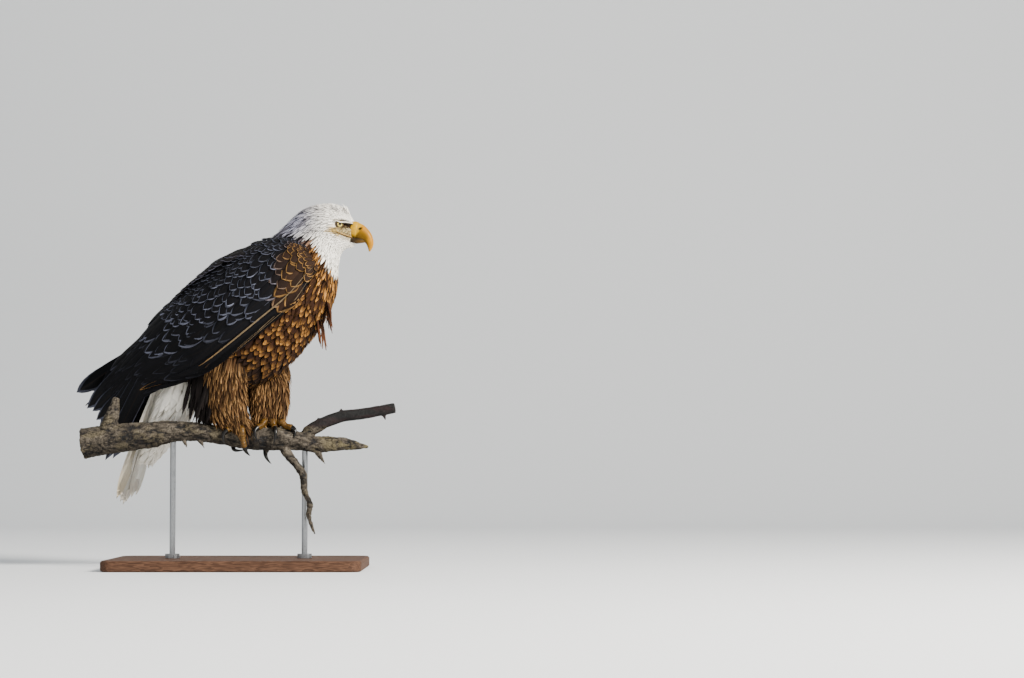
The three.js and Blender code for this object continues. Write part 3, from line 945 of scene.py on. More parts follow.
@dataclass(frozen=True)
class Cut:
    """The outline of a kind of feather and how finely it is made."""

    rows: int = 5
    columns: int = 3
    root: float = 0.4
    widest: float = 0.55
    tip: float = 0.5
    camber: float = 0.16
    ragged: float = 0.1
    fade: float = 1.3

    @property
    def stations(self) -> Array:
        """Shares from root to tip, closer together towards the tip, where the outline bends most."""
        return 1 - (1 - np.linspace(0, 1, self.rows + 1)) ** 1.6

    def half(self, s: Array) -> Array:
        """The half width's share at s from root to tip.

        It rises from the root's share as a quarter sine to 1 where the feather is widest, then falls as
        an arc to the power `tip`: 1/2 rounds the end and more than 1 draws it to a point.

        Args:
            s: places from root 0 to tip 1.

        Returns:
            The shares.
        """
        rise = self.root + (1 - self.root) * np.sin(np.pi / 2 * np.clip(s / self.widest, 0, 1))
        past = np.clip(s - self.widest, 0, 1) / (1.01 - self.widest)
        return np.maximum(rise * np.clip(1 - past**2, 0, 1) ** self.tip, 0.08)

    def triangles(self, flip: bool) -> Array:
        """One feather's faces: the flat underside, both end caps, then the bowed upper side.

        Args:
            flip: whether each face's corners run the other way round.

        Returns:
            Rows of three indices.
        """
        n, c = self.rows + 1, self.columns
        left, right = np.arange(self.rows) * c, np.arange(self.rows) * c + c - 1
        under = np.concatenate([
            np.stack([left, right + c, right], -1),
            np.stack([left, left + c, right + c], -1),
        ])
        j = np.arange(1, c - 1)
        zero, end = np.zeros_like(j), np.full_like(j, self.rows * c)
        caps = np.concatenate([np.stack([zero, j + 1, j], -1), np.stack([end, end + j, end + j + 1], -1)])
        faces = np.concatenate([under, caps, grid_triangles(n, c)])
        return faces[:, ::-1] if flip else faces


@dataclass
class Flock:
    """What differs from one feather of a tract to the next, one entry each.

    u and v place the root. Lengths and heights are in mm, and lean is the turn from the surface's own
    lie in radians. base and tip are colours, and rim is a colour with its strength.
    """

    u: Array
    v: Array
    length: Array
    width: Array
    lean: Array
    low: Array
    high: Array
    base: Array
    tip: Array
    rim: Array

    def only(self, keep: Array) -> "Flock":
        """The entries where keep is true."""
        return Flock(**{name: value[keep] for name, value in vars(self).items()})


def lay(surface: Surface, cut: Cut, flock: Flock, rng: np.random.Generator) -> Patchwork:
    """Lay feathers on a surface.

    A vane's vertex lies `along` and `across` mm from its root on the surface's own lines, which gives
    its u and v through the root's derivatives. It then rises along the normal there, from the low to
    the high height as s to the power 1.2, plus the camber times 1 minus the square of the share across.

    Args:
        surface: what they lie on.
        cut: their outline.
        flock: their places, sizes and colours.
        rng: for ragged edges.

    Returns:
        The feathers in the bird's frame.
    """
    count = len(flock.u)
    s = cut.stations[None, :, None]
    b = np.linspace(-1, 1, cut.columns)[None, None, :]
    _, pu, pv, _ = surface.frame(flock.u, flock.v)
    speed = np.linalg.norm(pu, axis=-1)
    t = pu / speed[:, None]
    skew = np.sum(pv * t, -1)
    reach = np.linalg.norm(pv - skew[:, None] * t, axis=-1)
    col = lambda x: x[:, None, None]
    ragged = 1 - cut.ragged * rng.uniform(0, 1, (count, cut.rows + 1, 1))
    bend = col(rng.uniform(-0.07, 0.07, count) * flock.length)
    along = s * col(flock.length) - 0.08 * col(flock.width) * np.abs(b) * s
    across = b * cut.half(s) * ragged * col(flock.width) / 2 + bend * s**2
    lean = col(flock.lean)
    a = along * np.cos(lean) - across * np.sin(lean)
    c = along * np.sin(lean) + across * np.cos(lean)
    dv = c / col(reach + 1e-6)
    du = (a - dv * col(skew)) / col(speed)
    p, _, _, normal = surface.frame(col(flock.u) + du, col(flock.v) + dv)
    height = col(flock.low) + col(flock.high - flock.low) * s**1.2
    height = height + cut.camber * col(flock.width) / 2 * (1 - b**2) * np.sqrt(cut.half(s))
    points = (p + normal * height[..., None]).reshape(-1, 3)
    per = (cut.rows + 1) * cut.columns
    faces = cut.triangles(flip=surface.outward < 0)[None] + (np.arange(count) * per)[:, None, None]
    share = np.broadcast_to(s**cut.fade, (count, cut.rows + 1, cut.columns))[..., None]
    tint = flock.base[:, None, None] * (1 - share) + flock.tip[:, None, None] * share
    rim = np.broadcast_to(flock.rim[:, None, None], (count, cut.rows + 1, cut.columns, 4))
    vane = np.stack(np.broadcast_arrays((b + 1) / 2, s), -1)
    vane = np.broadcast_to(vane, (count, cut.rows + 1, cut.columns, 2))
    place = np.stack([flock.v % 1, np.clip(flock.u / surface.last, 0, 1)], -1) * 0.99 + 0.003
    bake = place[:, None, None] + (vane - 0.5) * 0.003
    return Patchwork(
        points,
        faces.reshape(-1, 3),
        vane.reshape(-1, 2),
        bake.reshape(-1, 2),
        tint.reshape(-1, 3),
        rim.reshape(-1, 4),
    )


def staggered(
    surface: Surface,
    u_range: tuple[float, float],
    pitch: Callable[[float], tuple[float, float]],
    rng: np.random.Generator,
    v_range: tuple[float, float] = (0.0, 1.0),
) -> tuple[Array, Array]:
    """Roots in rows across the lie, each row shifted by half a pitch from the last.

    Args:
        surface: what they stand on.
        u_range: the first and the last row.
        pitch: gives the steps along and across the lie in mm at a row.
        rng: for small shifts.
        v_range: the first and last place across.

    Returns:
        u and v of every root.
    """
    fine = np.linspace(*v_range, 121)
    us, vs = [], []
    u, k = u_range[0], 0
    while u < u_range[1]:
        along, across = pitch(u)
        ring = surface.point(np.full(fine.shape, u), fine)
        step = np.linalg.norm(surface.point(np.full(fine.shape, u + 0.02), fine) - ring, axis=-1) / 0.02
        arc = np.concatenate([[0], np.cumsum(np.linalg.norm(np.diff(ring, axis=0), axis=-1))])
        n = max(int(arc[-1] / across), 3)
        places = (np.arange(n) + 0.25 + 0.5 * (k % 2) + rng.uniform(-0.28, 0.28, n)) / n
        v = np.interp(places * arc[-1], arc, fine)
        speed = np.interp(v, fine, step)
        us.append(u + rng.uniform(-0.35, 0.35, n) * along / speed)
        vs.append(v)
        u += along / np.quantile(step, 0.65)
        k += 1
    return np.concatenate(us), np.concatenate(vs)


def blades(
    root: Array, tip: Array, face: Array, width: Array, cut: Cut, bow: Array, rng: np.random.Generator
) -> Patchwork:
    """Stiff flight feathers, each from its root to its tip with its face towards a direction.

    A point is the line from root to tip, plus the across direction times the half width, plus the out
    direction times the bow times 4s(1-s) and the camber times 1 minus the square of the share across.

    Args:
        root: roots, one row each.
        tip: tips.
        face: directions that the faces look to.
        width: widths.
        cut: the outline.
        bow: how far each middle stands off the straight line.
        rng: for ragged edges.

    Returns:
        The feathers, without colours.
    """
    s = cut.stations[None, :, None, None]
    b = np.linspace(-1, 1, cut.columns)[None, None, :, None]
    run = tip - root
    across = unit(np.cross(face, run))
    out = unit(np.cross(run, across))
    col = lambda x: x[:, None, None, :]
    wide = width[:, None, None, None]
    ragged = 1 - cut.ragged * rng.uniform(0, 1, (len(root), cut.rows + 1, 1, 1))
    p = col(root) + col(run) * (s - 0.03 * np.abs(b) * s) + col(across) * b * cut.half(s) * ragged * wide / 2
    rise = bow[:, None, None, None] * 4 * s * (1 - s) + cut.camber * wide / 2 * (1 - b**2)
    p = p + col(out) * rise
    per = (cut.rows + 1) * cut.columns
    faces = cut.triangles(flip=False)[None] + (np.arange(len(root)) * per)[:, None, None]
    vane = np.stack(np.broadcast_arrays((b[..., 0] + 1) / 2, s[..., 0]), -1)
    vane = np.broadcast_to(vane, (len(root), cut.rows + 1, cut.columns, 2))
    lane = np.arange(len(root))[:, None, None]
    slot = np.stack([(lane + 0.1 + 0.8 * vane[..., 0]) / len(root), 0.02 + 0.96 * vane[..., 1]], -1)
    return Patchwork(p.reshape(-1, 3), faces.reshape(-1, 3), vane.reshape(-1, 2), slot.reshape(-1, 2))


def coloured(patch: Patchwork, per: int, base: Array, tip: Array, rim: Array) -> Patchwork:
    """Give each run of `per` vertices its own gradient and rim.

    Args:
        patch: feathers from blades.
        per: vertices in each.
        base: a colour at the root for each.
        tip: a colour at the tip for each.
        rim: a rim colour and strength for each.

    Returns:
        The same feathers with colours.
    """
    share = patch.vane[:, 1:2] ** 1.5
    patch.tint = np.repeat(base, per, 0) * (1 - share) + np.repeat(tip, per, 0) * share
    patch.edge = np.repeat(rim, per, 0)
    return patch


# ---- markings -------------------------------------------------------------------------------


@dataclass(frozen=True)
class Markings:
    """The bird's colours by place, the same for skin and plumage."""

    white: Array = hue("#fdf8ec")
    # painted shade: the blue-grey that the white nape is given where it lies in shade
    blue_grey: Array = hue("#77788e")
    streak: Array = hue("#3a333c")
    mantle: Array = hue("#0f0d0e")
    breast: Array = hue("#241208")
    flank: Array = hue("#110d0c")
    # gold: the breast's feather tips, partly their tawny fringes and partly painted sunlit highlight
    gold: Array = hue("#b98240")
    slate: Array = hue("#6a6876")
    wing: Array = hue("#08080b")
    fringe: Array = hue("#75788a")
    shoulder: Array = hue("#20140c")
    buff: Array = hue("#a07845")
    tawny: Array = hue("#a67e50")
    # near-black in front of the eye: partly the lores' own colour, partly painted shadow under the brow
    lore: Array = hue("#150d07")
    cheek: Array = hue("#8f7122")

    @staticmethod
    def turn(v: Array) -> Array:
        """How far round from the back line, from 0 to a half, the same on both sides."""
        return np.minimum(v % 1, 1 - v % 1)

    def collar(self, v: Array) -> Array:
        """The section where white ends, by place round the neck: far down the nape, high at the side.

        Args:
            v: places across it.

        Returns:
            The sections.
        """
        places = [0, 0.1, 0.18, 0.26, 0.33, 0.4, 0.45, 0.5]
        ends = [9.4, 8.8, 7.7, 7.05, 7.3, 7.9, 8.1, 8.5]
        return np.interp(self.turn(v), places, ends)

    def whiteness(self, u: Array, v: Array) -> Array:
        """1 on the white head and under the tail, 0 on the brown body.

        Args:
            u: places along the lie.
            v: places across it.

        Returns:
            The shares.
        """
        head = 1 - smoothstep(-0.12, 0.12, u - self.collar(v))
        rear = smoothstep(18.6, 19.2, u - 1.5 * (0.5 - self.turn(v)))
        return np.maximum(head, rear)

    def face(self, tint: Array, x: Array, z: Array, u: Array) -> Array:
        """Lay the dark lores and the tan skin under the eye over a tint, by place on the head's side. The
        lores' near-black is partly their own dark skin and partly painted shadow of the brow.

        Args:
            tint: the colours so far.
            x: fore and aft, before the head's turn.
            z: height.
            u: the section, as these marks belong to the face alone.

        Returns:
            The colours.
        """
        front = u < 4.2
        uneven = 0.16 * noise(np.stack([x, z, 0 * x], -1), 4.0, 9)
        cheek = np.hypot((x - 200) / 23, (z - 684.5 + 0.36 * (x - 200)) / 12) + uneven
        cheek = np.minimum(cheek, np.hypot((x - 213) / 14, (z - 686) / 12) + uneven)
        chin = np.hypot((x - 206) / 12, (z - 671.5 + 0.3 * (x - 206)) / 5) + uneven
        cheek = np.maximum(0.92 * smoothstep(1.15, 0.6, cheek), 0.55 * smoothstep(1.2, 0.4, chin))
        cheek = (cheek * front)[..., None]
        slanting = np.stack([0.7 * x, z + 0.4 * x, 0 * x], -1)
        skin = self.cheek * (1 + 0.6 * fractal(slanting, 2.6, 3, 14))[..., None]
        # Partly the lores' own dark skin and partly painted shadow of the brow over them.
        lore = np.hypot((x - 206) / 14, (z - 697 + 0.3 * (x - 206)) / 9.5)
        lore = (0.96 * smoothstep(1.15, 0.6, lore) * front)[..., None]
        return blend(blend(tint, skin, cheek), self.lore, lore)

    def streaks(self, u: Array, v: Array, x: Array, z: Array) -> Array:
        """How dark each head feather is streaked: long broken streaks down the nape, two on the brow.

        Args:
            u: places along the lie.
            v: places across it.
            x: fore and aft.
            z: height.

        Returns:
            The shares.
        """
        turn = self.turn(v)
        grain = noise(np.stack([v * 46, u * 1.1, 0 * u], -1), 1.0, 4)
        nape = smoothstep(2.9, 5.2, u) * smoothstep(0.4, 0.14, turn)
        crown = 0.55 * bump(u, 4.0, 1.0) * bump(turn, 0.06, 0.09)
        brow = bump(x, 191, 6) * bump(z + 0.9 * (x - 191), 727, 4)
        brow = brow + bump(x, 203, 5) * bump(z + 1.1 * (x - 203), 722, 3.6)
        return np.clip((nape * 0.9 + crown) * smoothstep(-0.15, 0.4, grain) + 1.3 * brow * (u < 4), 0, 0.85)

    def body(self, u: Array, v: Array) -> tuple[Array, Array]:
        """The body's colour at u, v and the colour of its feathers' tips.

        Args:
            u: places along the lie.
            v: places across it.

        Returns:
            Both colours.
        """
        turn = self.turn(v)
        w = self.whiteness(u, v)[..., None]
        # Painted shade: the white nape is blended to blue-grey towards the back of the neck.
        nape = (0.9 * smoothstep(3.6, 7.0, u) * smoothstep(0.31, 0.13, turn))[..., None]
        pale = blend(self.white, self.blue_grey, nape)
        front = smoothstep(0.2, 0.3, turn)[..., None]
        rear = smoothstep(14.0, 16.5, u)[..., None]
        brown = blend(blend(self.mantle, self.breast, front), self.flank, rear)
        # Tips: slate on the back, and gold on the breast and sides as tawny fringes with painted sunlit
        # highlight, going dark towards the rear.
        tips = blend(blend(self.slate, self.gold, front), self.flank, rear * 0.7)
        return blend(brown, pale, w), blend(tips, pale, w)


def under_wing(p: Array) -> Array:
    """Whether points in the bird's frame lie under a folded wing, well inside its outline.

    Args:
        p: the points.

    Returns:
        True where they do.
    """
    order = np.argsort(WING_UPPER[:, 0])
    top = np.interp(p[..., 0], WING_UPPER[order, 0], WING_UPPER[order, 2])
    order = np.argsort(WING_LOWER[:, 0])
    low = np.interp(p[..., 0], WING_LOWER[order, 0], WING_LOWER[order, 2])
    return (p[..., 2] < top - 30) & (p[..., 2] > low + 28) & (p[..., 0] < 128) & (np.abs(p[..., 1]) > 25)


# ---- plumage --------------------------------------------------------------------------------


@dataclass
class BodyPlumage:
    """The small feathers of the head, neck, breast and back."""

    marks: Markings = field(default_factory=Markings)
    back_size: tuple[float, float] = (30.0, 16.0)

    def sizes(self, u: Array) -> tuple[Array, Array]:
        """Length and width of a feather by its place along the body.

        Args:
            u: places along the lie.

        Returns:
            Lengths and widths in mm.
        """
        places = [0, 1, 2, 3.5, 5, 7, 9, 11, 13, 22]
        length = np.interp(u, places, [4, 7, 11, 17, 24, 32, 38, 31, 29, 38])
        width = np.interp(u, places, [1.6, 2.4, 3.4, 4.6, 5.4, 6.2, 7.6, 11, 14, 20])
        return length, width

    def depth(self, u: Array) -> Array:
        """How deep the coat is along the body."""
        return np.interp(u, [0, 1.5, 4, 8, 12, 22], [1.0, 1.6, 3.5, 7, 9, 9])

    def pitch(self, u: float) -> tuple[float, float]:
        """Steps along and across at a row.

        Args:
            u: the row.

        Returns:
            Both steps in mm.
        """
        length, width = self.sizes(np.array(u))
        share = np.interp(u, [0, 2, 6, 9, 12, 22], [0.34, 0.3, 0.26, 0.26, 0.34, 0.36])
        return float(length * share), float(width * 0.8)

    def flock(self, u: Array, v: Array, rng: np.random.Generator) -> Flock:
        """Sizes, heights and colours of body feathers rooted at u, v.

        Args:
            u: places along the lie.
            v: places across it.
            rng: the random draws.

        Returns:
            The flock.
        """
        n = len(u)
        length, width = self.sizes(u)
        length = length * rng.uniform(0.82, 1.2, n)
        width = width * rng.uniform(0.85, 1.15, n)
        depth = self.depth(u)
        surface = SliceSurface()
        speed = np.linalg.norm(surface.point(u + 0.02, v) - surface.point(u, v), axis=-1) / 0.02
        reach = u + 0.75 * length / np.maximum(speed, 4)
        base, tip = self.marks.body(reach + rng.uniform(-0.1, 0.1, n), v)
        white = self.marks.whiteness(reach, v)
        flat = surface.unturned(u, v)
        dim = (1 + rng.uniform(-0.14, 0.04, n) * (1 - 0.7 * white))[:, None]
        dark = (self.marks.streaks(u, v, flat[:, 0], flat[:, 2]) * white * (u < 12))[:, None]
        neck = smoothstep(2.5, 6, u)[:, None] * white[:, None]
        root = base * (1 - 0.12 * neck)
        tip = blend(tip, self.marks.streak, dark)
        root, tip = (self.marks.face(tint, flat[:, 0], flat[:, 2], u) for tint in (root, tip))
        stand = rng.uniform(-0.1, 0.35, n) * np.interp(u, [0, 3, 7, 10, 22], [0.2, 0.6, 2.6, 4.5, 6.0])
        brown = (1 - white)[:, None]
        back = smoothstep(0.28, 0.22, self.marks.turn(v)) * (u > 8.6)
        length, width = (blend(size, wide, back) for size, wide in zip((length, width), self.back_size))
        # glow: each feather's share of the gold tip, tawny fringe and painted sunlit highlight varying at
        # random; full on the back
        glow = np.maximum(np.clip(rng.uniform(-0.6, 1.3, n), 0.04, 1), back)[:, None]
        edge = blend(tip, blend(base, tip, glow), brown)
        strength = 0.15 + brown * (0.15 + 0.7 * back[:, None])
        rim = rimmed(edge, strength * rng.uniform(0.5, 1.0, (n, 1)))
        tip = blend(edge, base, brown * back[:, None])
        lift = np.interp(u, [9.2, 11, 13, 15, 17.5], [0, 6, 8, 10, 0]) * back
        lift = lift * (1 + 0.9 * smoothstep(0.02, 0.1, self.marks.turn(v)))
        low, high = lift - 0.75 * depth * (1 - 0.4 * back), lift + 0.2 + stand * (1 - 0.5 * back)
        lean = rng.normal(0, 1, n) * np.interp(u, [11, 14], [0.05, 0.09])
        return Flock(u, v, length, width, lean, low, high, root * dim, tip * dim, rim)

    def keep(self, u: Array, v: Array) -> Array:
        """Leave out what the eyes, the bare lores and the wings cover.

        Args:
            u: places along the lie.
            v: places across it.

        Returns:
            True for the feathers that stay.
        """
        surface = SliceSurface()
        flat = surface.unturned(u, v)
        eye = np.hypot(flat[:, 0] - EYE_X, (flat[:, 2] - EYE_Z) * 1.05) < 8.4
        side = np.abs(np.sin(2 * np.pi * v)) > 0.3
        bare = (np.hypot((flat[:, 0] - 207) / 10, (flat[:, 2] - 695) / 7.5) < 1) & side & (u < 3)
        hidden = under_wing(flat) & (u > 9)
        return ~((eye & side & (u < 5)) | bare | hidden)

    def build(self) -> list[bpy.types.Object]:
        """Make the pieces: the face, the neck, the upper body and the rear.

        Returns:
            The pieces.
        """
        rng = np.random.default_rng(SEED)
        surface = SliceSurface()
        hackle = Cut(rows=4, root=0.5, widest=0.45, tip=0.9, camber=0.14)
        face = Cut(rows=3, root=0.6, widest=0.4, tip=0.9, camber=0.15)
        round_tip = Cut(rows=6, columns=5, root=0.35, widest=0.62, tip=0.6, camber=0.2, ragged=0.12, fade=7.0)
        made = []
        tracts = [
            ("coat_face", (0.12, 2.6), face),
            ("coat_neck", (2.4, 10.6), hackle),
            ("coat_breast", (9.4, 16.0), round_tip),
            ("coat_belly", (15.6, 21.3), round_tip),
            ("coat_back", (8.8, 19.0), round_tip),
        ]
        for name, span, cut in tracts:
            is_back = name == "coat_back"
            pitch = (lambda u: (11.0, 12.0)) if is_back else self.pitch
            u, v = staggered(surface, span, pitch, rng, (-0.24, 0.24) if is_back else (0.0, 1.0))
            kept = self.keep(u, v) & (is_back | (self.marks.turn(v) > 0.23) | (u < 9.2))
            u, v = u[kept], v[kept]
            white = self.marks.whiteness(u + 0.6, v)
            if cut is hackle:
                late = (white < 0.5) & (u > 9.2)
                u, v = u[~late], v[~late]
            elif name in ("coat_breast", "coat_back"):
                early = (white > 0.5) & (u < 12)
                u, v = u[~early], v[~early]
            patch = lay(surface, cut, self.flock(u, v, rng), rng)
            finish = DOWNY
            if cut is round_tip:
                finish = FeatherFinish(shaft=0.3, barbs=14.0, rim=(0.86, 0.97) if is_back else (0.74, 0.96))
            made.append(patch.to_object(name, finish))
            LOG.info("%s: %d feathers, %d triangles", name, len(u), len(patch.triangles))
        return [*made, self.tufts(rng), self.loose(rng)]

    def tufts(self, rng: np.random.Generator) -> bpy.types.Object:
        """The raised tuft on the forehead and the short beard under the bill.

        Args:
            rng: the random draws.

        Returns:
            The piece.
        """
        n = 60
        chin = np.arange(n) >= 24
        u = np.where(chin, rng.uniform(0.8, 1.9, n), rng.uniform(0.7, 1.5, n))
        v = np.where(chin, 0.5 + rng.normal(0, 0.035, n), rng.normal(0.99, 0.02, n))
        lean = np.where(chin, np.pi, 0) + rng.normal(0, 0.2, n)
        beard, tuft = rng.uniform(4, 11, n), rng.uniform(2, 9.5, n)
        high = np.where(chin, beard, tuft * np.interp(u, [0.7, 1.35], [0.2, 1]))
        length = np.where(chin, rng.uniform(9, 14, n), rng.uniform(13, 19, n))
        tint = self.marks.white * rng.uniform(0.82, 1.0, (n, 1))
        rim = rimmed(tint, np.zeros(n))
        flock = Flock(u, v, length, np.full(n, 3.4), lean, np.full(n, -1.2), high, tint, tint, rim)
        patch = lay(SliceSurface(), Cut(rows=5, root=0.6, widest=0.4, tip=1.2, camber=0.3), flock, rng)
        patch = Patchwork.joined([patch, *(self.bristles(side) for side in Side)])
        return patch.to_object("coat_tufts", DOWNY)

    def bristles(self, side: Side) -> Patchwork:
        """Short hair-like feathers on the bare skin between eye and mouth: dark above, mixed below.

        Args:
            side: which side of the head.

        Returns:
            The bristles.
        """
        rng = np.random.default_rng(SEED + 50 + side.value)
        x, z = rng.uniform(190, 214, 420), rng.uniform(674, 702, 420)
        kept = (np.hypot(x - EYE_X, z - EYE_Z) > 10) & (z < 702 - 0.2 * (x - 190))
        kept &= z > 686 - 0.5 * (x - 190)
        x, z = x[kept], z[kept]
        n = len(x)
        u, v = SliceSurface().locate(x, z, side)
        shade = np.clip(rng.uniform(0, 1, n) + smoothstep(689, 697, z), 0, 1)[:, None]
        tint = blend(srgb("#d9c594"), srgb("#33220f"), shade)
        lean = -side.value * rng.normal(0.45, 0.35, n)
        length, width, high = (rng.uniform(low, top, n) for low, top in ((4, 7.5), (0.5, 1.0), (0.4, 1.5)))
        rim = rimmed(tint, np.zeros(n))
        flock = Flock(u, v, length, width, lean, np.full(n, -0.4), high, tint, tint, rim)
        return lay(SliceSurface(), Cut(rows=4, root=0.7, widest=0.3, tip=1.2, camber=0.4), flock, rng)

    def loose(self, rng: np.random.Generator) -> bpy.types.Object:
        """Feathers that hang free: long ones in front of the breast and dark ones behind the legs.

        Args:
            rng: the random draws.

        Returns:
            The piece.
        """
        front, rear = 16, 330
        surface = SliceSurface()
        bundle = np.arange(front) % 2
        u = np.concatenate([11.0 + 1.3 * bundle + rng.normal(0, 0.16, front), rng.uniform(16.2, 18.4, rear)])
        v = np.concatenate([
            0.485 + 0.01 * bundle + rng.normal(0, 0.016, front),
            0.5 + rng.uniform(-0.19, 0.19, rear),
        ])
        root, _, _, normal = surface.frame(u, v)
        is_front = np.arange(front + rear) < front
        kept = is_front | ((root[:, 0] > -122 + rng.uniform(0, 26, len(u))) & (root[:, 0] < -48))
        u, v, root, normal, is_front = u[kept], v[kept], root[kept], normal[kept], is_front[kept]
        n = len(u)
        drop = np.where(is_front, rng.uniform(36, 64, n), rng.uniform(55, 120, n))
        out = np.where(is_front, rng.uniform(0, 9, n), 0.0)[:, None]
        sway = rng.normal(0, 1, (n, 3)) * np.array([7.0, 5.0, 0.0])
        tip = root + normal * out * [1, 1, 0.2] - drop[:, None] * [0, 0, 1.0] + sway
        tip[:, 0] -= np.where(is_front, 0, rng.uniform(0, 24, n))
        tip[:, 2] = np.maximum(tip[:, 2], np.where(is_front, 0, rng.uniform(280, 306, n)))
        ahead = np.where(is_front[:, None], [1.0, 0, 0.1], np.stack([0 * v, -np.sign(0.5 - v), 0 * v], -1))
        cut = Cut(rows=9, columns=5, root=0.4, widest=0.5, tip=1.0, camber=0.2, ragged=0.4)
        width = np.where(is_front, rng.uniform(9, 14, n), rng.uniform(9, 18, n))
        patch = blades(root - normal * 4, tip, ahead + 0.001, width, cut, rng.uniform(-3, 4, n), rng)
        warm = rng.uniform(0, 0.8, (n, 1)) ** 1.5
        base = np.where(is_front[:, None], self.marks.breast, self.marks.flank)
        ruddy, dusky = blend(base, srgb("#7c4824"), warm), base * rng.uniform(0.8, 2.0, (n, 1))
        tips = np.where(is_front[:, None], ruddy, dusky)
        rim = rimmed(tips, np.where(is_front, 0.8, 0.2))
        patch = coloured(patch, (cut.rows + 1) * cut.columns, base, tips, rim)
        return patch.to_object("coat_loose", FeatherFinish(shaft=0.2, barbs=24.0))


@dataclass
class ShagPlumage:
    """Loose tufts: both thighs and the white feathers under the tail."""

    marks: Markings = field(default_factory=Markings)

    def thigh(self, side: Side) -> bpy.types.Object:
        """One leg's long tawny tufts, which hang over the foot.

        Args:
            side: which leg.

        Returns:
            The piece.
        """
        rng = np.random.default_rng(SEED + 3 + side.value)
        bell = np.array([0, 0, 2, 5, 8, 9])[:, None] * np.array([[-1.0, 0, 0, 1.3, 0.8]])
        surface = TubeSurface(table=THIGH[side.word] + bell)
        u, v = staggered(surface, (0.2, 4.7), lambda u: (6.0, 4.8), rng)
        n = len(u)
        cut = Cut(rows=7, root=0.5, widest=0.4, tip=1.1, camber=0.25, ragged=0.2, fade=2.5)
        pale = rng.uniform(0.1, 1, n)[:, None] ** 2.1
        dark = srgb("#332010") * rng.uniform(0.4, 1.4, n)[:, None]
        tip = blend(dark, self.marks.tawny, pale)
        rim = rimmed(tip, rng.uniform(0.2, 0.9, n))
        cuff = smoothstep(2.4, 4.2, u)
        lean = 0.32 * noise(np.stack([v * 9, u * 1.3, 0 * u], -1), 1.0, 6) + rng.normal(0, 0.08, n)
        locks = smoothstep(-0.6, 0.6, noise(np.stack([v * 8, u * 0.8, 0 * u], -1), 1.0, 8))
        flare = cuff * (2 + 19 * locks) * rng.uniform(0.5, 1.15, n)
        flock = Flock(
            u, v, rng.uniform(34, 52, n) + 8 * cuff, rng.uniform(4.5, 9, n), lean, np.full(n, -6.0),
            rng.uniform(-0.5, 5.0, n) + flare, dark, tip, rim,
        )
        patch = lay(surface, cut, flock, rng)
        LOG.info("thigh %s: %d tufts, %d triangles", side.word, n, len(patch.triangles))
        name = f"coat_thigh_{side.word}"
        return patch.to_object(name, FeatherFinish(shaft=0.1, barbs=18.0))

    def undertail(self) -> bpy.types.Object:
        """Soft white feathers over the tail's root.

        Returns:
            The piece.
        """
        rng = np.random.default_rng(SEED + 9)
        surface = SliceSurface(table=UNDERTAIL, is_body=False)
        u, v = staggered(surface, (0.0, 4.6), lambda u: (11.0, 9.0), rng)
        n = len(u)
        cut = Cut(rows=6, columns=5, root=0.4, widest=0.6, tip=0.6, camber=0.25, ragged=0.25)
        base = self.marks.white * rng.uniform(0.8, 1.0, n)[:, None]
        tip = self.marks.white * rng.uniform(0.9, 1.0, n)[:, None]
        rim = rimmed(base, rng.uniform(0.1, 0.5, n))
        flock = Flock(
            u, v, rng.uniform(36, 54, n), rng.uniform(13, 20, n), rng.normal(0, 0.14, n), np.full(n, -7.0),
            rng.uniform(0, 5.0, n), base, tip, rim,
        )
        patch = lay(surface, cut, flock, rng)
        LOG.info("undertail: %d feathers, %d triangles", n, len(patch.triangles))
        finish = FeatherFinish(shaft=0.0, barbs=16.0, ripple=0.05, patchy=0.05)
        return patch.to_object("coat_undertail", finish)


class Edge(Enum):
    """A line across the wing that a layer's tips stop at: places along u, and v at each."""

    SCALES = ((0, 1, 2.4, 2.8, 3.4, 4.4, 5.2, 5.8), (1.05, 1.0, 0.86, 0.79, 0.76, 0.71, 0.57, 0.4))
    GREATER = ((1, 3, 4, 4.7, 5.4, 6.2), (1.1, 0.95, 0.87, 0.8, 0.76, 0.66))

    def at(self, u: Array) -> Array:
        """The line's v at u."""
        return np.interp(u, *self.value)


@dataclass(frozen=True)
class Layer:
    """One layer of a wing's feathers, with steps, sizes and heights in mm.

    along and across are the ranges of u and v that it covers. pitch is the steps between roots, size
    the length and width, heights those of the roots and tips, and rim the weakest and strongest rim.
    """

    along: tuple[float, float]
    across: tuple[float, float]
    pitch: tuple[float, float]
    size: tuple[float, float]
    heights: tuple[float, float]
    rim: tuple[float, float]
    end: Edge | None = None


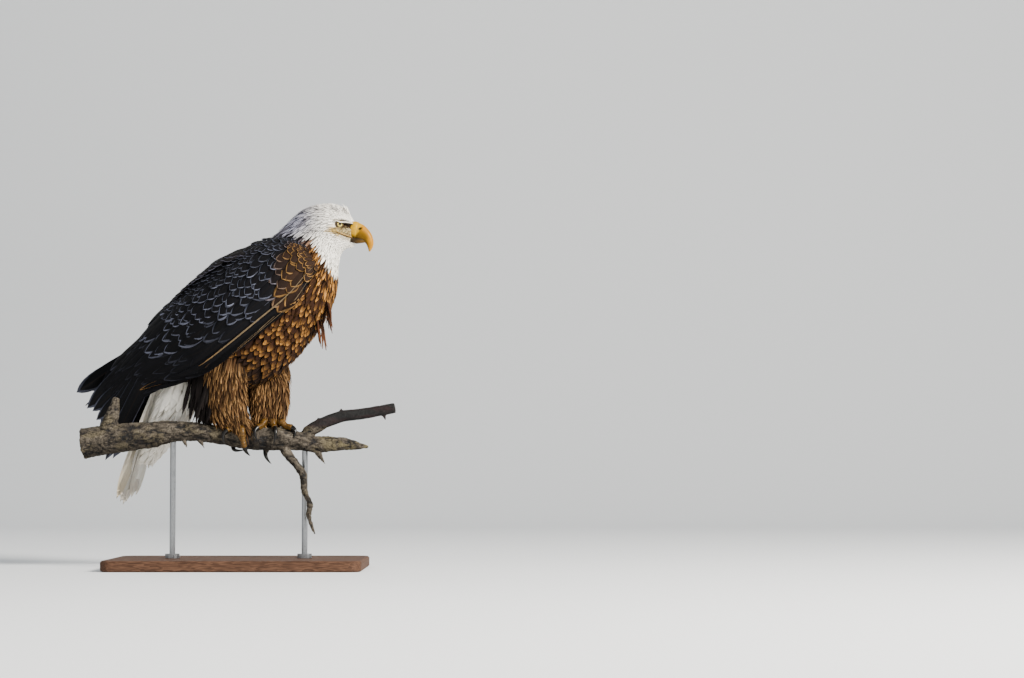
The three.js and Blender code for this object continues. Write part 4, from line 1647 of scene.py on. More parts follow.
@dataclass
class WingPlumage:
    """A folded wing: small scaled coverts at the shoulder, growing to long feathers towards the tip.

    row_length is about how many mm one step of u covers, and breadth how many one step of v does.
    """

    side: Side
    marks: Markings = field(default_factory=Markings)
    row_length: float = 62.0
    breadth: float = 150.0

    def gold_shoulder(self, u: Array, v: Array) -> Array:
        """1 on the warm brown scales of the shoulder, 0 on the black-brown rest."""
        return smoothstep(0.06, 0.26, v) * smoothstep(0.3, -0.35, u - 0.45 - 2.1 * v)

    def layer(self, plan: Layer, rng: np.random.Generator) -> Patchwork:
        """Make one layer, with smaller feathers towards the shoulder.

        Args:
            plan: its steps, sizes and heights.
            rng: the random draws.

        Returns:
            The layer.
        """
        surface = WingSurface(side=self.side)
        small = lambda u: np.interp(u, [-0.1, 0.2, 0.7, 2.0], [0.24, 0.42, 0.68, 1.0])
        steps = lambda u: (plan.pitch[0] * float(small(u)), plan.pitch[1] * float(small(u)))
        u, v = staggered(surface, plan.along, steps, rng, plan.across)
        n = len(u)
        length, width = (size * small(u) * rng.uniform(0.9, 1.12, n) for size in plan.size)
        droop = 0.42 * bump(u, 2.9, 1.7) * (1 - smoothstep(60, 100, np.array(plan.size[0])))
        lean = droop + rng.normal(0, 0.07, n)
        reach = u + 0.95 * length * np.cos(lean) / self.row_length
        down = v + 0.95 * length * np.sin(lean) / self.breadth
        kept = np.ones(n, bool)
        if plan.end:
            kept = down < plan.end.at(reach) + rng.uniform(-0.015, 0.015, n)
        gold = self.gold_shoulder(reach, down)[:, None]
        dim = rng.uniform(0.75, 1.3, n)[:, None]
        base = blend(self.marks.wing, self.marks.shoulder, gold) * dim
        colour = blend(self.marks.fringe, self.marks.buff, gold) * rng.uniform(0.55, 1.05, (n, 1))
        strength = blend(rng.uniform(*plan.rim, (n, 1)), rng.uniform(0.7, 1.0, (n, 1)), gold)
        fade = np.interp(u, [5, 9], [1, 0.5])
        low, high = plan.heights[0] * fade, (plan.heights[1] + rng.uniform(-0.3, 1.3, n)) * fade
        flock = Flock(u, v, length, width, lean, low, high, base, base * 1.1, rimmed(colour, strength))
        cut = Cut(rows=9, columns=5, root=0.45, widest=0.66, tip=0.5, camber=0.12, ragged=0.03)
        return lay(surface, cut, flock.only(kept), rng)

    def coverts(self) -> bpy.types.Object:
        """All the layers on the sheet, from the lowest, the long flight feathers, to the small scales.

        Returns:
            The piece.
        """
        rng = np.random.default_rng(SEED + 20 + self.side.value)
        start = -0.1 if self.side is Side.RIGHT else 0.35
        plans = (
            Layer((2.2, 7.9), (0.08, 0.99), (44, 15), (150, 30), (-5.5, -3.0), (0.0, 0.25)),
            Layer((3.6, 5.3), (0.1, 0.72), (30, 24), (112, 36), (-4.5, -1.2), (0.5, 0.9)),
            Layer((1.0, 4.6), (0.5, 0.99), (20, 19), (76, 27), (-4.5, -1.0), (0.25, 0.7), Edge.GREATER),
            Layer((start, 5.4), (0.02, 0.3), (13, 11), (34, 17), (-4.0, 0.3), (0.25, 0.75), Edge.SCALES),
            Layer((start, 5.0), (0.28, 0.6), (17, 15), (44, 23), (-4.0, 0.3), (0.5, 0.95), Edge.SCALES),
            Layer((start, 4.4), (0.57, 0.99), (20, 17), (50, 27), (-4.0, 0.3), (0.6, 1.0), Edge.SCALES),
        )
        name = f"coat_wing_{self.side.word}"
        patch = Patchwork.joined([*(self.layer(plan, rng) for plan in plans), self.long_edges(rng)])
        LOG.info("%s: %d triangles", name, len(patch.triangles))
        return patch.to_object(name, FeatherFinish(rim=(0.885, 0.975), shaft=0.3, barbs=30.0))

    def long_edges(self, rng: np.random.Generator) -> Patchwork:
        """Narrow feathers along the wing's lower edge, and thin pale buff slivers beside them: painted
        highlights of the sunlit edges, which show as long pale lines.

        Args:
            rng: the random draws.

        Returns:
            The feathers.
        """
        u = np.array([0.9, 1.9, 2.8, 6.2, 0.5, 2.2, 3.6, 0.9, 2.6])
        v = np.array([0.985, 0.96, 0.975, 0.985, 0.905, 0.93, 0.945, 0.985, 0.99])
        length = np.array([235, 220, 190, 100, 150, 140, 120, 140, 110.0])
        width = np.array([15, 15, 14, 12, 0.9, 1.2, 1.5, 0.75, 1.1])
        # line: the thin slivers, a painted highlight of the sunlit edges in pale buff
        line = (width < 8)[:, None]
        base = np.where(line, srgb("#695a44"), self.marks.wing)
        strength = np.array([0, 0, 0.1, 1.0, 0.9, 0.9, 0.9, 0.9, 0.9])
        lean, low, high = (np.where(line[:, 0], *pair) for pair in ((0.03, 0.0), (0.6, -3.0), (2.6, 0.5)))
        flock = Flock(u, v, length, width, lean, low, high, base, base, rimmed(self.marks.buff, strength))
        cut = Cut(rows=20, columns=5, root=0.4, widest=0.6, tip=0.6, camber=0.14, ragged=0.03)
        return lay(WingSurface(side=self.side), cut, flock, rng)

    def primaries(self) -> bpy.types.Object:
        """The long feathers of the wing's point.

        Returns:
            The piece.
        """
        rng = np.random.default_rng(SEED + 30 + self.side.value)
        tips = PRIMARY_TIPS[self.side.word]
        held = np.array([self.side.held, 0, 0])
        root, tip = tips[:, :3] + held, tips[:, 3:6] + held
        root = root - (tip - root) * 0.7
        face = np.tile(np.array([0.1, float(self.side.value), 0.15]), (len(root), 1))
        cut = Cut(rows=22, columns=7, root=0.5, widest=0.75, tip=0.6, camber=0.07, ragged=0.03)
        patch = blades(root, tip, face, tips[:, 6], cut, np.full(len(root), 3.0), rng)
        n = len(root)
        base = np.tile(self.marks.wing, (n, 1)) * rng.uniform(0.7, 1.0, (n, 1))
        rim = rimmed(self.marks.fringe, np.full(n, 0.35))
        patch = coloured(patch, (cut.rows + 1) * cut.columns, base, base * 0.8, rim)
        name = f"primaries_{self.side.word}"
        return patch.to_object(name, FeatherFinish(rim=(0.9, 0.99), shaft=0.6, barbs=150.0, roughness=0.6))


PRIMARY_TIPS = {
    "right": np.array([
        [-300, -17, 410, -392, -8, 331, 34],
        [-292, -24, 382, -374, -16, 325, 28],
        [-286, -30, 366, -360, -24, 306, 26],
        [-268, -36, 376, -356, -20, 282, 34],
        [-250, -42, 386, -348, -22, 250, 36],
        [-226, -48, 394, -336, -26, 222, 38],
    ], float),
    "left": np.array([
        [-318, 15, 425, -424, 20, 366, 36],
        [-310, 20, 410, -404, 26, 372, 30],
        [-300, 26, 392, -386, 32, 346, 28],
        [-286, 30, 372, -368, 26, 306, 32],
        [-264, 38, 382, -354, 22, 262, 36],
        [-234, 46, 392, -338, 26, 226, 38],
    ], float),
}


@dataclass
class TailPlumage:
    """Twelve white tail feathers in a narrow fan."""

    root_x: float = -218.0
    root_z: float = 400.0
    length: float = 286.0
    slope: float = 71.5
    spread: float = 2.1
    width: float = 38.0
    count: int = 12
    marks: Markings = field(default_factory=Markings)

    def build(self) -> bpy.types.Object:
        """Make the tail.

        Returns:
            The piece.
        """
        rng = np.random.default_rng(SEED + 40)
        i = np.linspace(-3, 3, self.count)
        i = i[np.argsort(-np.abs(i))]
        slope, fan = np.radians(self.slope), np.radians(i * self.spread)
        run = np.stack([-np.cos(slope) * np.cos(fan), np.sin(fan), -np.sin(slope) * np.cos(fan)], -1)
        up = np.array([-np.sin(slope), 0, np.cos(slope)])
        root = np.array([self.root_x, 0, self.root_z]) - up * (1.1 * np.abs(i))[:, None]
        root = root + np.stack([0 * i, 4.0 * i, 0 * i], -1)
        tip = root + run * (self.length - 2.2 * i**2 - rng.uniform(0, 14, len(i)))[:, None]
        cut = Cut(rows=30, columns=9, root=0.35, widest=0.8, tip=0.5, camber=0.07, ragged=0.015)
        n = self.count
        width, bow = np.full(n, self.width * 0.86), rng.uniform(-2, 3, n)
        patch = blades(root, tip, np.tile(up, (n, 1)), width, cut, bow, rng)
        base = np.tile(self.marks.white, (n, 1)) * rng.uniform(0.88, 1.0, (n, 1))
        rim = rimmed(srgb("#c9b183"), np.full(n, 0.2))
        cream = blend(base, srgb("#f0d9a4"), 0.5 * (i < -1.5)[:, None])
        patch = coloured(patch, (cut.rows + 1) * cut.columns, base, cream, rim)
        finish = FeatherFinish(rim=(0.9, 0.99), shaft=0.12, barbs=150.0, ripple=0.03, patchy=0.04)
        return patch.to_object("tail_feathers", finish)


# ---- skin -----------------------------------------------------------------------------------


@dataclass
class Skin:
    """One closed skin under all the plumage, which stands for every node of flesh."""

    voxel: float = 2.691
    marks: Markings = field(default_factory=Markings)
    nodes: tuple[str, ...] = (
        "head", "neck", "trunk", "undertail_coverts", "thigh_right", "thigh_left", "wing_right_arm",
        "wing_left_arm",
    )

    def lofts(self) -> tuple[Patchwork, Array]:
        """The flesh's closed forms, and a colour for each of their points.

        Returns:
            The forms and the colours.
        """
        forms, tints = [], []
        plumage = BodyPlumage()
        u, v = ring_grid(21, 110, 72)
        p, _, _, normal = SliceSurface().frame(u, v)
        p = p - normal * (plumage.depth(u) * 0.95)[..., None]
        forms.append(outward_tube(p))
        flat = SliceSurface().unturned(u, v)
        base, _ = self.marks.body(u, v)
        base = self.marks.face(base, flat[..., 0], flat[..., 2], u)
        tints.append(capped(base))
        for side in Side:
            tube = TubeSurface(table=THIGH[side.word], inset=6.5)
            u, v = ring_grid(5, 24, 32)
            forms.append(outward_tube(tube.raw(u, v)))
            tints.append(capped(np.broadcast_to(self.marks.breast, (*u.shape, 3))))
            wing = WingSurface(side=side)
            u, v = np.meshgrid(np.linspace(0.15, 4.6, 40), np.linspace(0.04, 0.96, 24), indexing="ij")
            p, _, _, normal = wing.frame(u, v)
            outer, inner = p - normal * 4.5, p - normal * 13.0
            forms.append(outward_tube(np.concatenate([outer, inner[:, ::-1]], 1)))
            tints.append(capped(np.broadcast_to(self.marks.wing, (40, 48, 3))))
        rump = SliceSurface(table=UNDERTAIL, is_body=False, inset=7.0)
        u, v = ring_grid(5, 24, 32)
        forms.append(outward_tube(rump.raw(u, v)))
        tints.append(capped(np.broadcast_to(self.marks.white, (*u.shape, 3))))
        return Patchwork.joined([Patchwork(*form) for form in forms]), np.concatenate(tints)

    def build(self) -> bpy.types.Object:
        """Join the forms by a fine voxel grid, smooth them and paint each vertex as the nearest form.

        Returns:
            The piece.
        """
        patch, tints = self.lofts()
        mesh, points = fused(patch.to_object("skin_forms"), "skin", self.voxel, 4)
        samples = (bird_to_row(patch.points) * MM).astype(np.float32)[::3]
        nearest = np.concatenate([
            np.argmin(np.sum(samples**2, 1)[None] - 2 * part @ samples.T, 1)
            for part in np.array_split(points, max(len(points) // 2000, 1))
        ])
        paint(mesh, "tint", tints[::3][nearest])
        mesh.materials.append(SkinFinish(roughness=0.7).build("skin"))
        skin = placed("skin", mesh)
        LOG.info("skin: %d vertices", len(points))
        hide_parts(*self.nodes)
        return skin


# ---- head details ---------------------------------------------------------------------------


@dataclass
class Bill:
    """The cere and both halves of the bill, as slices turned with the head."""

    upper: Array = listed(
        [222.0, 704.5, 217.0, 671.0, 14.2],
        [226.0, 703.6, 221.2, 669.7, 13.8],
        [231.8, 701.1, 226.2, 667.9, 13.0],
        [238.8, 696.3, 231.2, 666.3, 11.8],
        [245.6, 689.3, 235.6, 664.7, 10.4],
        [251.2, 681.3, 239.0, 662.5, 9.0],
        [255.0, 672.1, 241.6, 659.3, 7.4],
        [256.3, 662.3, 243.6, 655.3, 5.7],
        [254.6, 653.3, 245.3, 650.5, 4.0],
        [250.0, 645.1, 246.8, 644.9, 1.6],
    )
    cere: Array = listed(
        [211.0, 706.5, 207.0, 673.0, 14.6],
        [216.8, 706.9, 212.6, 672.3, 15.0],
        [221.0, 706.3, 216.6, 671.3, 15.2],
        [225.0, 704.9, 220.4, 670.2, 14.5],
        [226.6, 703.2, 222.0, 670.8, 13.2],
    )
    lower: Array = listed(
        [206.8, 678.0, 206.6, 663.4, 13.0],
        [212.8, 677.0, 212.6, 662.4, 12.6],
        [220.4, 675.0, 220.2, 661.2, 11.6],
        [227.4, 674.0, 227.0, 661.8, 10.4],
        [234.4, 672.5, 234.0, 662.5, 8.6],
        [240.4, 670.0, 239.8, 663.2, 5.4],
    )

    nostril: tuple[float, float, float, float, float] = (230.5, 690.8, 4.4, 2.3, 25.0)

    def nostril_at(self, x: Array, z: Array) -> Array:
        """A bell over the nostril's slanting slit: 1 at its middle.

        Args:
            x: fore and aft.
            z: height.

        Returns:
            The bell's height.
        """
        cx, cz, long, wide, slope = self.nostril
        du, dv = spun(x - cx, z - cz, -np.radians(slope))
        return np.exp(-(((du / long) ** 2 + (dv / wide) ** 2) ** 1.5))

    def piece(
        self, name: str, table: Array, finish: SkinFinish, colours: Callable[[Array, Array], Array]
    ) -> bpy.types.Object:
        """A closed loft turned with the head, with the nostril pressed in.

        Args:
            name: its name.
            table: its slices.
            finish: its material.
            colours: gives them from the points before the turn and the share round from the top.

        Returns:
            The piece.
        """
        u, v = ring_grid(len(table) - 1, 110, 96)
        p = SliceSurface(table=table, is_body=False).raw(u, v)
        p[..., 1] *= 1 + 0.06 * np.cos(4 * np.pi * v)
        pressed = 2.2 * self.nostril_at(p[..., 0], p[..., 2]) * (np.abs(p[..., 1]) > 5)
        p[..., 1] -= np.sign(p[..., 1]) * pressed
        p[..., 1] += 0.12 * noise(p, 5.0, 2)
        points, faces = outward_tube(turn_head(p, np.zeros_like(u)))
        tint = capped(colours(p.reshape(-1, 3), Markings.turn(v).ravel()))
        return Patchwork(points, faces, tint=tint).to_object(name, finish)

    def upper_colours(self, p: Array, turn: Array) -> Array:
        """Yellow root, orange ridge and hook, with painted shade: olive-dark flanks below the ridge, a dark
        cutting edge and a dark nostril.

        Args:
            p: points before the turn.
            turn: the share round from the top.

        Returns:
            The colours.
        """
        x, z = p[:, 0], p[:, 2]
        ahead = smoothstep(-2, 4, x - np.interp(z, [668, 675, 684, 696, 704], [212, 219, 227, 232, 235]))
        # Painted shade: the flanks below the ridge darken to olive, except at the hook.
        low = smoothstep(0.07, 0.3, turn) * smoothstep(254, 243, x + 0.1 * (680 - z))
        flank = blend(srgb("#9c6900"), srgb("#3a2d00"), 0.8 * low[:, None])
        tint = blend(srgb("#a87f00"), flank, ahead[:, None]) * (1 + 0.1 * fractal(p, 7.0, 3, 5)[:, None])
        tint = blend(tint, srgb("#a88a4a"), 0.35 * smoothstep(655, 645, z)[:, None])
        # Painted shadow along the cutting edge, where the upper half hangs over the lower.
        edge = smoothstep(0.41, 0.475, turn) * smoothstep(224, 230, x) * smoothstep(655, 660, z)
        tint = blend(tint, srgb("#120c04"), 0.9 * edge[:, None])
        # Painted shade inside the nostril's opening.
        hole = np.clip(1.25 * self.nostril_at(x, z), 0, 1) * (np.abs(p[:, 1]) > 4)
        return blend(tint, srgb("#0d0906"), hole[:, None])

    def build(self) -> list[bpy.types.Object]:
        """Make the cere, the upper half and the lower half.

        Returns:
            The pieces.
        """
        # The lower half is painted shade: dark umber at its top and rear under the upper half, amber at its
        # front lower side. The cere turns brown low down.
        yellow, brown, shadow_umber, amber = (srgb(code) for code in ("#ac8200", "#4a3806", "#241a0a", "#6a4a08"))
        low = lambda p: 0.75 * smoothstep(681, 672, p[:, 2])[:, None]
        ahead = lambda p, turn: (smoothstep(212, 238, p[:, 0]) * smoothstep(0.15, 0.45, turn))[:, None]
        cere = self.piece(
            "cere_skin", self.cere, SkinFinish(0.45, 1400.0, 0.00015, 0.1, 0.15),
            lambda p, turn: blend(yellow, brown, low(p)),
        )
        horn = SkinFinish(0.46, 300.0, 0.00005, 0.03, 0.1, gloss=0.12)
        top = self.piece("bill_top", self.upper, horn, self.upper_colours)
        under = self.piece(
            "bill_under", self.lower, SkinFinish(0.5, 300.0, 0.00005, 0.0, 0.1),
            lambda p, turn: blend(shadow_umber, amber, ahead(p, turn)),
        )
        for thing, node in ((cere, "cere"), (top, "bill_upper"), (under, "bill_lower")):
            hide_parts(node)
        return [cere, top, under]


@dataclass
class Eye:
    """One eye with its iris, pupil and lids, looking out and a little forward."""

    side: Side
    radius: float = 9.6
    iris: float = 5.5
    pupil: float = 2.6
    forward: float = 24.0
    down: float = 3.0

    @property
    def centre(self) -> Array:
        """The ball's middle in the bird's frame."""
        place = np.array([[EYE_X, EYE_Y * self.side.value, EYE_Z]])
        return turn_head(place, np.zeros(1))[0]

    def axes(self) -> tuple[Array, Array, Array]:
        """The gaze, and two directions across it: forward and up.

        Returns:
            The three directions.
        """
        a = np.radians(self.forward)
        gaze = np.array([np.sin(a), np.cos(a) * self.side.value, -np.sin(np.radians(self.down))])
        gaze = unit(np.array([*spun(gaze[0], gaze[1], np.radians(HEAD_TURN)), gaze[2]]))
        ahead = unit(np.cross(gaze, np.array([0, 0, 1.0]))) * -self.side.value
        upward = unit(np.cross(ahead, gaze)) * self.side.value
        return gaze, ahead, upward * np.sign(upward[2])

    def around(self, polar: Array, turn: Array, r: Array) -> Array:
        """Points at r from the middle, at a polar angle off the gaze and turned round it from ahead to up.

        Args:
            polar: the angle off the gaze.
            turn: the angle round it.
            r: how far from the middle.

        Returns:
            The points.
        """
        gaze, ahead, upward = self.axes()
        return self.centre + (
            gaze * np.cos(polar)[..., None]
            + ahead * (np.sin(polar) * np.cos(turn))[..., None]
            + upward * (np.sin(polar) * np.sin(turn))[..., None]
        ) * r[..., None]

    def ball(self) -> bpy.types.Object:
        """The eyeball as rings round the gaze, with a slight cornea.

        Returns:
            The piece.
        """
        pole = 0.01
        rings, round_it = np.linspace(pole, np.pi - pole, 90), np.linspace(0, 2 * np.pi, 64, endpoint=False)
        polar, turn = np.meshgrid(rings, round_it, indexing="ij")
        points, faces = outward_tube(self.around(polar, turn, self.radius * (1 + 0.04 * bump(polar, 0, 0.5))))
        away = np.concatenate([(np.sin(polar) * self.radius).ravel(), [0, 0]])
        back = np.concatenate([polar.ravel(), [0, np.pi]]) > np.pi / 2
        ray = 0.06 * np.sin(np.concatenate([turn.ravel(), [0, 0]]) * 31)
        iris = srgb("#cfb653") * (1 + ray[:, None])
        ring = smoothstep(self.pupil + 0.2, self.pupil + 1.6, away)[:, None]
        iris = iris * (0.62 + 0.38 * ring)
        limbus = smoothstep(self.iris - 0.9, self.iris, away)[:, None]
        tint = blend(iris, srgb("#2a2118"), limbus)
        hole = smoothstep(self.pupil + 0.15, self.pupil - 0.15, away)[:, None]
        tint = blend(tint, srgb("#040404"), hole)
        tint = np.where(back[:, None], srgb("#2a2118"), tint)
        finish = SkinFinish(0.12, 50.0, 0.0, 0.0, 0.0, gloss=0.5)
        ball = Patchwork(points, faces, tint=tint).to_object(f"eyeball_{self.side.word}", finish)
        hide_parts(f"eye_{self.side.word}")
        return ball

    def lids(self) -> bpy.types.Object:
        """A ring of thin skin over the ball, open round the iris and cut low by the brow.

        Returns:
            The piece.
        """
        turn = np.linspace(0, 2 * np.pi, 96, endpoint=False)
        opening = self.iris * (1.0 + 0.06 * np.cos(turn) ** 2 - 0.16 * np.clip(np.sin(turn), 0, 1) ** 2)
        start = np.arcsin(opening / self.radius)
        steps = np.array([0.0, 0.05, 0.16, 0.4, 0.75, 1.0, 1.0, 0.75, 0.4, 0.12])
        lift = np.array([0.25, 0.95, 1.2, 1.0, 0.8, 0.4, -1.2, -1.2, -1.2, -0.8])
        polar = start[None] + steps[:, None] * 0.75
        wrinkle = 0.12 * np.sin(turn * 9)[None] * (lift[:, None] > 0.3)
        rings = self.around(polar, turn, self.radius + lift[:, None] + wrinkle).transpose(1, 0, 2)
        faces = grid_triangles(len(turn), len(steps), wrap=True)
        last = grid_triangles(2, len(steps), wrap=True)
        last = np.where(last < len(steps), last + (len(turn) - 1) * len(steps), last - len(steps))
        faces = np.concatenate([faces, last])
        points = rings.reshape(-1, 3)
        a, b, c = (points[faces[:, k]] - self.centre for k in range(3))
        if np.sum(np.cross(a, b) * c) < 0:
            faces = faces[:, ::-1]
        rim = smoothstep(0.05, 0.2, np.tile(steps, len(turn)))[:, None]
        tint = blend(srgb("#0d0906"), srgb("#5a4426"), rim)
        finish = SkinFinish(0.5, 2200.0, 0.0001, 0.1, 0.3)
        return Patchwork(points, faces, tint=tint).to_object(f"lids_{self.side.word}", finish)


@dataclass
class FaceFolds:
    """The brow ridge over an eye and the fleshy corner of the mouth."""

    side: Side
    brow: Array = listed(
        [180, 706.4, -0.4, 0.5],
        [186, 705.8, 2.2, 1.4],
        [194, 704.8, 4.5, 2.1],
        [204, 702.6, 4.2, 2.4],
        [215, 699.0, 1.4, 1.5],
    )
    gape: Array = listed(
        [188, 682.9, 0.0, 0.5],
        [194, 680.4, 0.6, 1.0],
        [203, 677.0, 0.8, 1.2],
        [213, 673.6, 0.8, 1.2],
        [222, 670.9, 0.4, 1.0],
    )

    def fold(self, rows: Array, name: str, tints: tuple[Array, Array]) -> bpy.types.Object:
        """A tapered tube along places on the head.

        Args:
            rows: x, z, how far it stands off, and radius.
            name: the piece's name.
            tints: the colours of its upper and lower side.

        Returns:
            The piece.
        """
        table = rows_at(rows, np.linspace(0, len(rows) - 1, 36))
        surface = SliceSurface()
        u, v = surface.locate(table[:, 0], table[:, 1], self.side)
        p, _, _, normal = surface.frame(u, v)
        middle = p + normal * table[:, 2:3]
        along = unit(np.gradient(middle, axis=0))
        up = unit(np.cross(normal, along))
        up = up * np.sign(up[:, 2:3])
        turn = np.linspace(0, 2 * np.pi, 20, endpoint=False)
        rings = (
            middle[:, None]
            + up[:, None] * (np.sin(turn)[None] * table[:, 3:4])[..., None]
            + normal[:, None] * (np.cos(turn)[None] * table[:, 3:4] * 1.3)[..., None]
        )
        points, faces = outward_tube(rings)
        # The lower side takes the second colour: under the brow it is painted shadow of the ridge over the
        # eye, on the gape a darker brown.
        share = smoothstep(-0.2, 0.45, np.concatenate([np.tile(np.sin(turn), 36), [0, 0]]))[:, None]
        tint = blend(tints[1], tints[0], share)
        return Patchwork(points, faces, tint=tint).to_object(name, SkinFinish(0.5, 1500.0, 0.0001, 0.1))

    def build(self) -> list[bpy.types.Object]:
        """Make both folds.

        Returns:
            The pieces.
        """
        return [
            # brow: pale above, near-black below as painted shadow over the eye
            self.fold(self.brow, f"brow_{self.side.word}", (srgb("#d8cfbd"), srgb("#130c06"))),
            self.fold(self.gape, f"gape_{self.side.word}", (srgb("#a9833f"), srgb("#2e1f0e"))),
        ]


# ---- feet and perch -------------------------------------------------------------------------


def tube_rings(table: Array, rows: int, sides: int) -> Array:
    """Rings of points round a smooth line through rows of x, y, z, radius.

    Args:
        table: the rows.
        rows: how many rings.
        sides: points in a ring.

    Returns:
        Rings by points by 3.
    """
    row = rows_at(table, np.linspace(0, len(table) - 1, rows))
    middle = row[:, :3]
    along = unit(np.gradient(middle, axis=0))
    seed = np.where(np.abs(along[:, :1]) > 0.8, [[0, 1.0, 0]], [[1.0, 0, 0]])
    seed = np.tile(seed[len(seed) // 2], (rows, 1))
    side = unit(np.cross(along, seed))
    fore = unit(np.cross(side, along))
    turn = np.linspace(0, 2 * np.pi, sides, endpoint=False)
    return (
        middle[:, None]
        + fore[:, None] * (np.cos(turn)[None] * row[:, 3:4])[..., None]
        + side[:, None] * (np.sin(turn)[None] * row[:, 3:4])[..., None]
    )


def on_branch(x: Array, degrees: Array, lift: Array) -> Array:
    """The point `lift` mm off the bark at x, at an angle from the top towards -Y.

    Args:
        x: along the branch, in mm.
        degrees: the angle.
        lift: how far off the bark.

    Returns:
        The point.
    """
    u = np.interp(x, LIMB_MAIN[:, 0], np.arange(len(LIMB_MAIN)))
    row = rows_at(LIMB_MAIN, u)
    a = np.radians(degrees)
    reach = row[..., 3] + lift
    return np.stack([x, row[..., 1] - reach * np.sin(a), row[..., 2] + reach * np.cos(a)], -1)


@dataclass(frozen=True)
class Toe:
    """One toe: how far it runs along the branch, the angle it ends at, and where its talon points."""

    name: str
    run: float
    angle: float
    talon: tuple[float, float, float]


@dataclass
class Foot:
    """A scaled foot on the branch: shank, pad, four toes and four talons."""

    side: Side
    x: float
    y: float
    toes: tuple[Toe, ...]

    def line(self, toe: Toe, count: int) -> Array:
        """Rows of x, y, z, radius along a toe: out of the pad, over a knuckle and round the branch.

        Args:
            toe: which toe.
            count: how many rows.

        Returns:
            The rows.
        """
        t = np.linspace(0, 1, count)
        start = np.degrees(np.arctan2(-self.y, 22))
        radius = 7.6 + (5.4 - 7.6) * t + 0.7 * np.cos(4 * np.pi * t)
        knuckle = 3.2 * np.sin(np.pi * np.minimum(1, t * 1.6))
        p = on_branch(self.x + toe.run * t, start + (toe.angle - start) * t, radius + 1 + knuckle)
        return np.concatenate([p, radius[:, None]], 1)

    def talon_line(self, toe: Toe, count: int) -> Array:
        """Rows of x, y, z, radius along a talon: a quadratic curve bent over from the toe's end.

        Args:
            toe: whose talon.
            count: how many rows.

        Returns:
            The rows.
        """
        ends = self.line(toe, 6)
        start = ends[-1, :3]
        along = unit(start - ends[-2, :3])
        offset = np.array(toe.talon)
        knee = start + along * np.linalg.norm(offset) * 0.55
        t = np.linspace(0, 1, count)[:, None]
        p = start * (1 - t) ** 2 + knee * 2 * t * (1 - t) + (start + offset) * t**2
        return np.concatenate([p, 5.2 * (1 - t) ** 0.75 + 0.35], 1)

    def toe_mesh(self, toe: Toe) -> Patchwork:
        """A toe with broad scutes on top, pads below and small scales at its sides.

        Args:
            toe: which toe.

        Returns:
            The toe.
        """
        count, sides = 90, 40
        rings = tube_rings(self.line(toe, count), count, sides)
        middle = rings.mean(1, keepdims=True)
        t = np.linspace(0, 1, count)[:, None]
        away = unit(rings - middle)
        row = rows_at(LIMB_MAIN, np.interp(middle[:, 0, 0], LIMB_MAIN[:, 0], np.arange(len(LIMB_MAIN))))
        out = unit(middle - np.stack([middle[:, 0, 0], row[:, 1], row[:, 2]], -1)[:, None])
        top = np.sum(away * out, -1)
        scute = np.abs(np.sin(np.pi * t * 11)) ** 0.5 * smoothstep(0.1, 0.6, top) * 0.7
        pad = np.abs(np.sin(np.pi * (t * 3 + 0.2))) * smoothstep(-0.2, -0.8, top) * 1.1
        grain = 0.35 * noise(rings, 2.6, 7) * smoothstep(0.5, 0.0, np.abs(top))
        rings = rings + away * (scute + pad + grain)[..., None]
        points, faces = outward_tube(rings)
        light = 0.55 + 0.45 * np.clip(scute / 0.7 + 0.6 * (top < 0.2), 0, 1)
        shade = np.concatenate([light.ravel(), [0.8, 0.8]])
        yellow, brown = srgb("#5c3f0f"), srgb("#120b04")
        mix = (shade * (0.8 + 0.25 * fractal(points, 7.0, 2, 3)))[:, None]
        return Patchwork(points, faces, tint=blend(brown, yellow, mix))

    def shank(self) -> Patchwork:
        """The pad and the leg's bare end, mostly under the tufts.

        Returns:
            The shank.
        """
        end = THIGH[self.side.word][-1]
        ankle = bird_to_row(end[None, :3])[0] - np.array([PERCH_X, 0, 0])
        top = on_branch(np.array(self.x), np.array(0.0), np.array(0.0))[2]
        table = np.array([
            [self.x, self.y, top + 6, 12.5],
            [self.x, self.y, top + 13, 11.5],
            [(self.x + ankle[0]) / 2, (self.y + ankle[1]) / 2, end[2] + 4, 9.5],
            [ankle[0], ankle[1], end[2] + 26, 9.0],
        ])
        rings = tube_rings(table, 40, 40)
        middle = rings.mean(1, keepdims=True)
        rings = rings + unit(rings - middle) * (0.5 * noise(rings, 3.0, 9))[..., None]
        points, faces = outward_tube(rings)
        return Patchwork(points, faces, tint=srgb("#5e3f10") + 0 * points)

    def build(self) -> list[bpy.types.Object]:
        """Make the foot's skin and its talons.

        Returns:
            The pieces.
        """
        word = self.side.word
        skin = Patchwork.joined([self.shank(), *(self.toe_mesh(toe) for toe in self.toes)])
        foot = skin.to_object(f"foot_skin_{word}", SkinFinish(0.5, 1100.0, 0.0002, 0.1, 0.3))
        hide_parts(f"foot_{word}", *(f"toe_{word}_{toe.name}" for toe in self.toes))
        horn = SkinFinish(0.32, 200.0, 0.00003, 0.15, 0.15)
        claws = []
        for toe in self.toes:
            points, faces = outward_tube(tube_rings(self.talon_line(toe, 40), 40, 24))
            claws.append(Patchwork(points, faces, tint=srgb("#0c0a08") + 0 * points))
        talons = Patchwork.joined(claws).to_object(f"talons_{word}", horn)
        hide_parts(*(f"talon_{word}_{toe.name}" for toe in self.toes))
        for thing in (foot, talons):
            shift_to_branch(thing)
        return [foot, talons]


def shift_to_branch(thing: bpy.types.Object) -> None:
    """Undo the bird's turn and place on a mesh that was given in the branch's frame.

    Args:
        thing: the object.
    """
    points = np.empty(len(thing.data.vertices) * 3)
    thing.data.vertices.foreach_get("co", points)
    p = points.reshape(-1, 3) / MM
    x, y = spun(p[:, 0] - BIRD_X - PERCH_X, p[:, 1], np.radians(BODY_YAW))
    thing.data.vertices.foreach_set("co", (np.stack([x + PERCH_X, y, p[:, 2]], -1) * MM).ravel())
    thing.data.update()


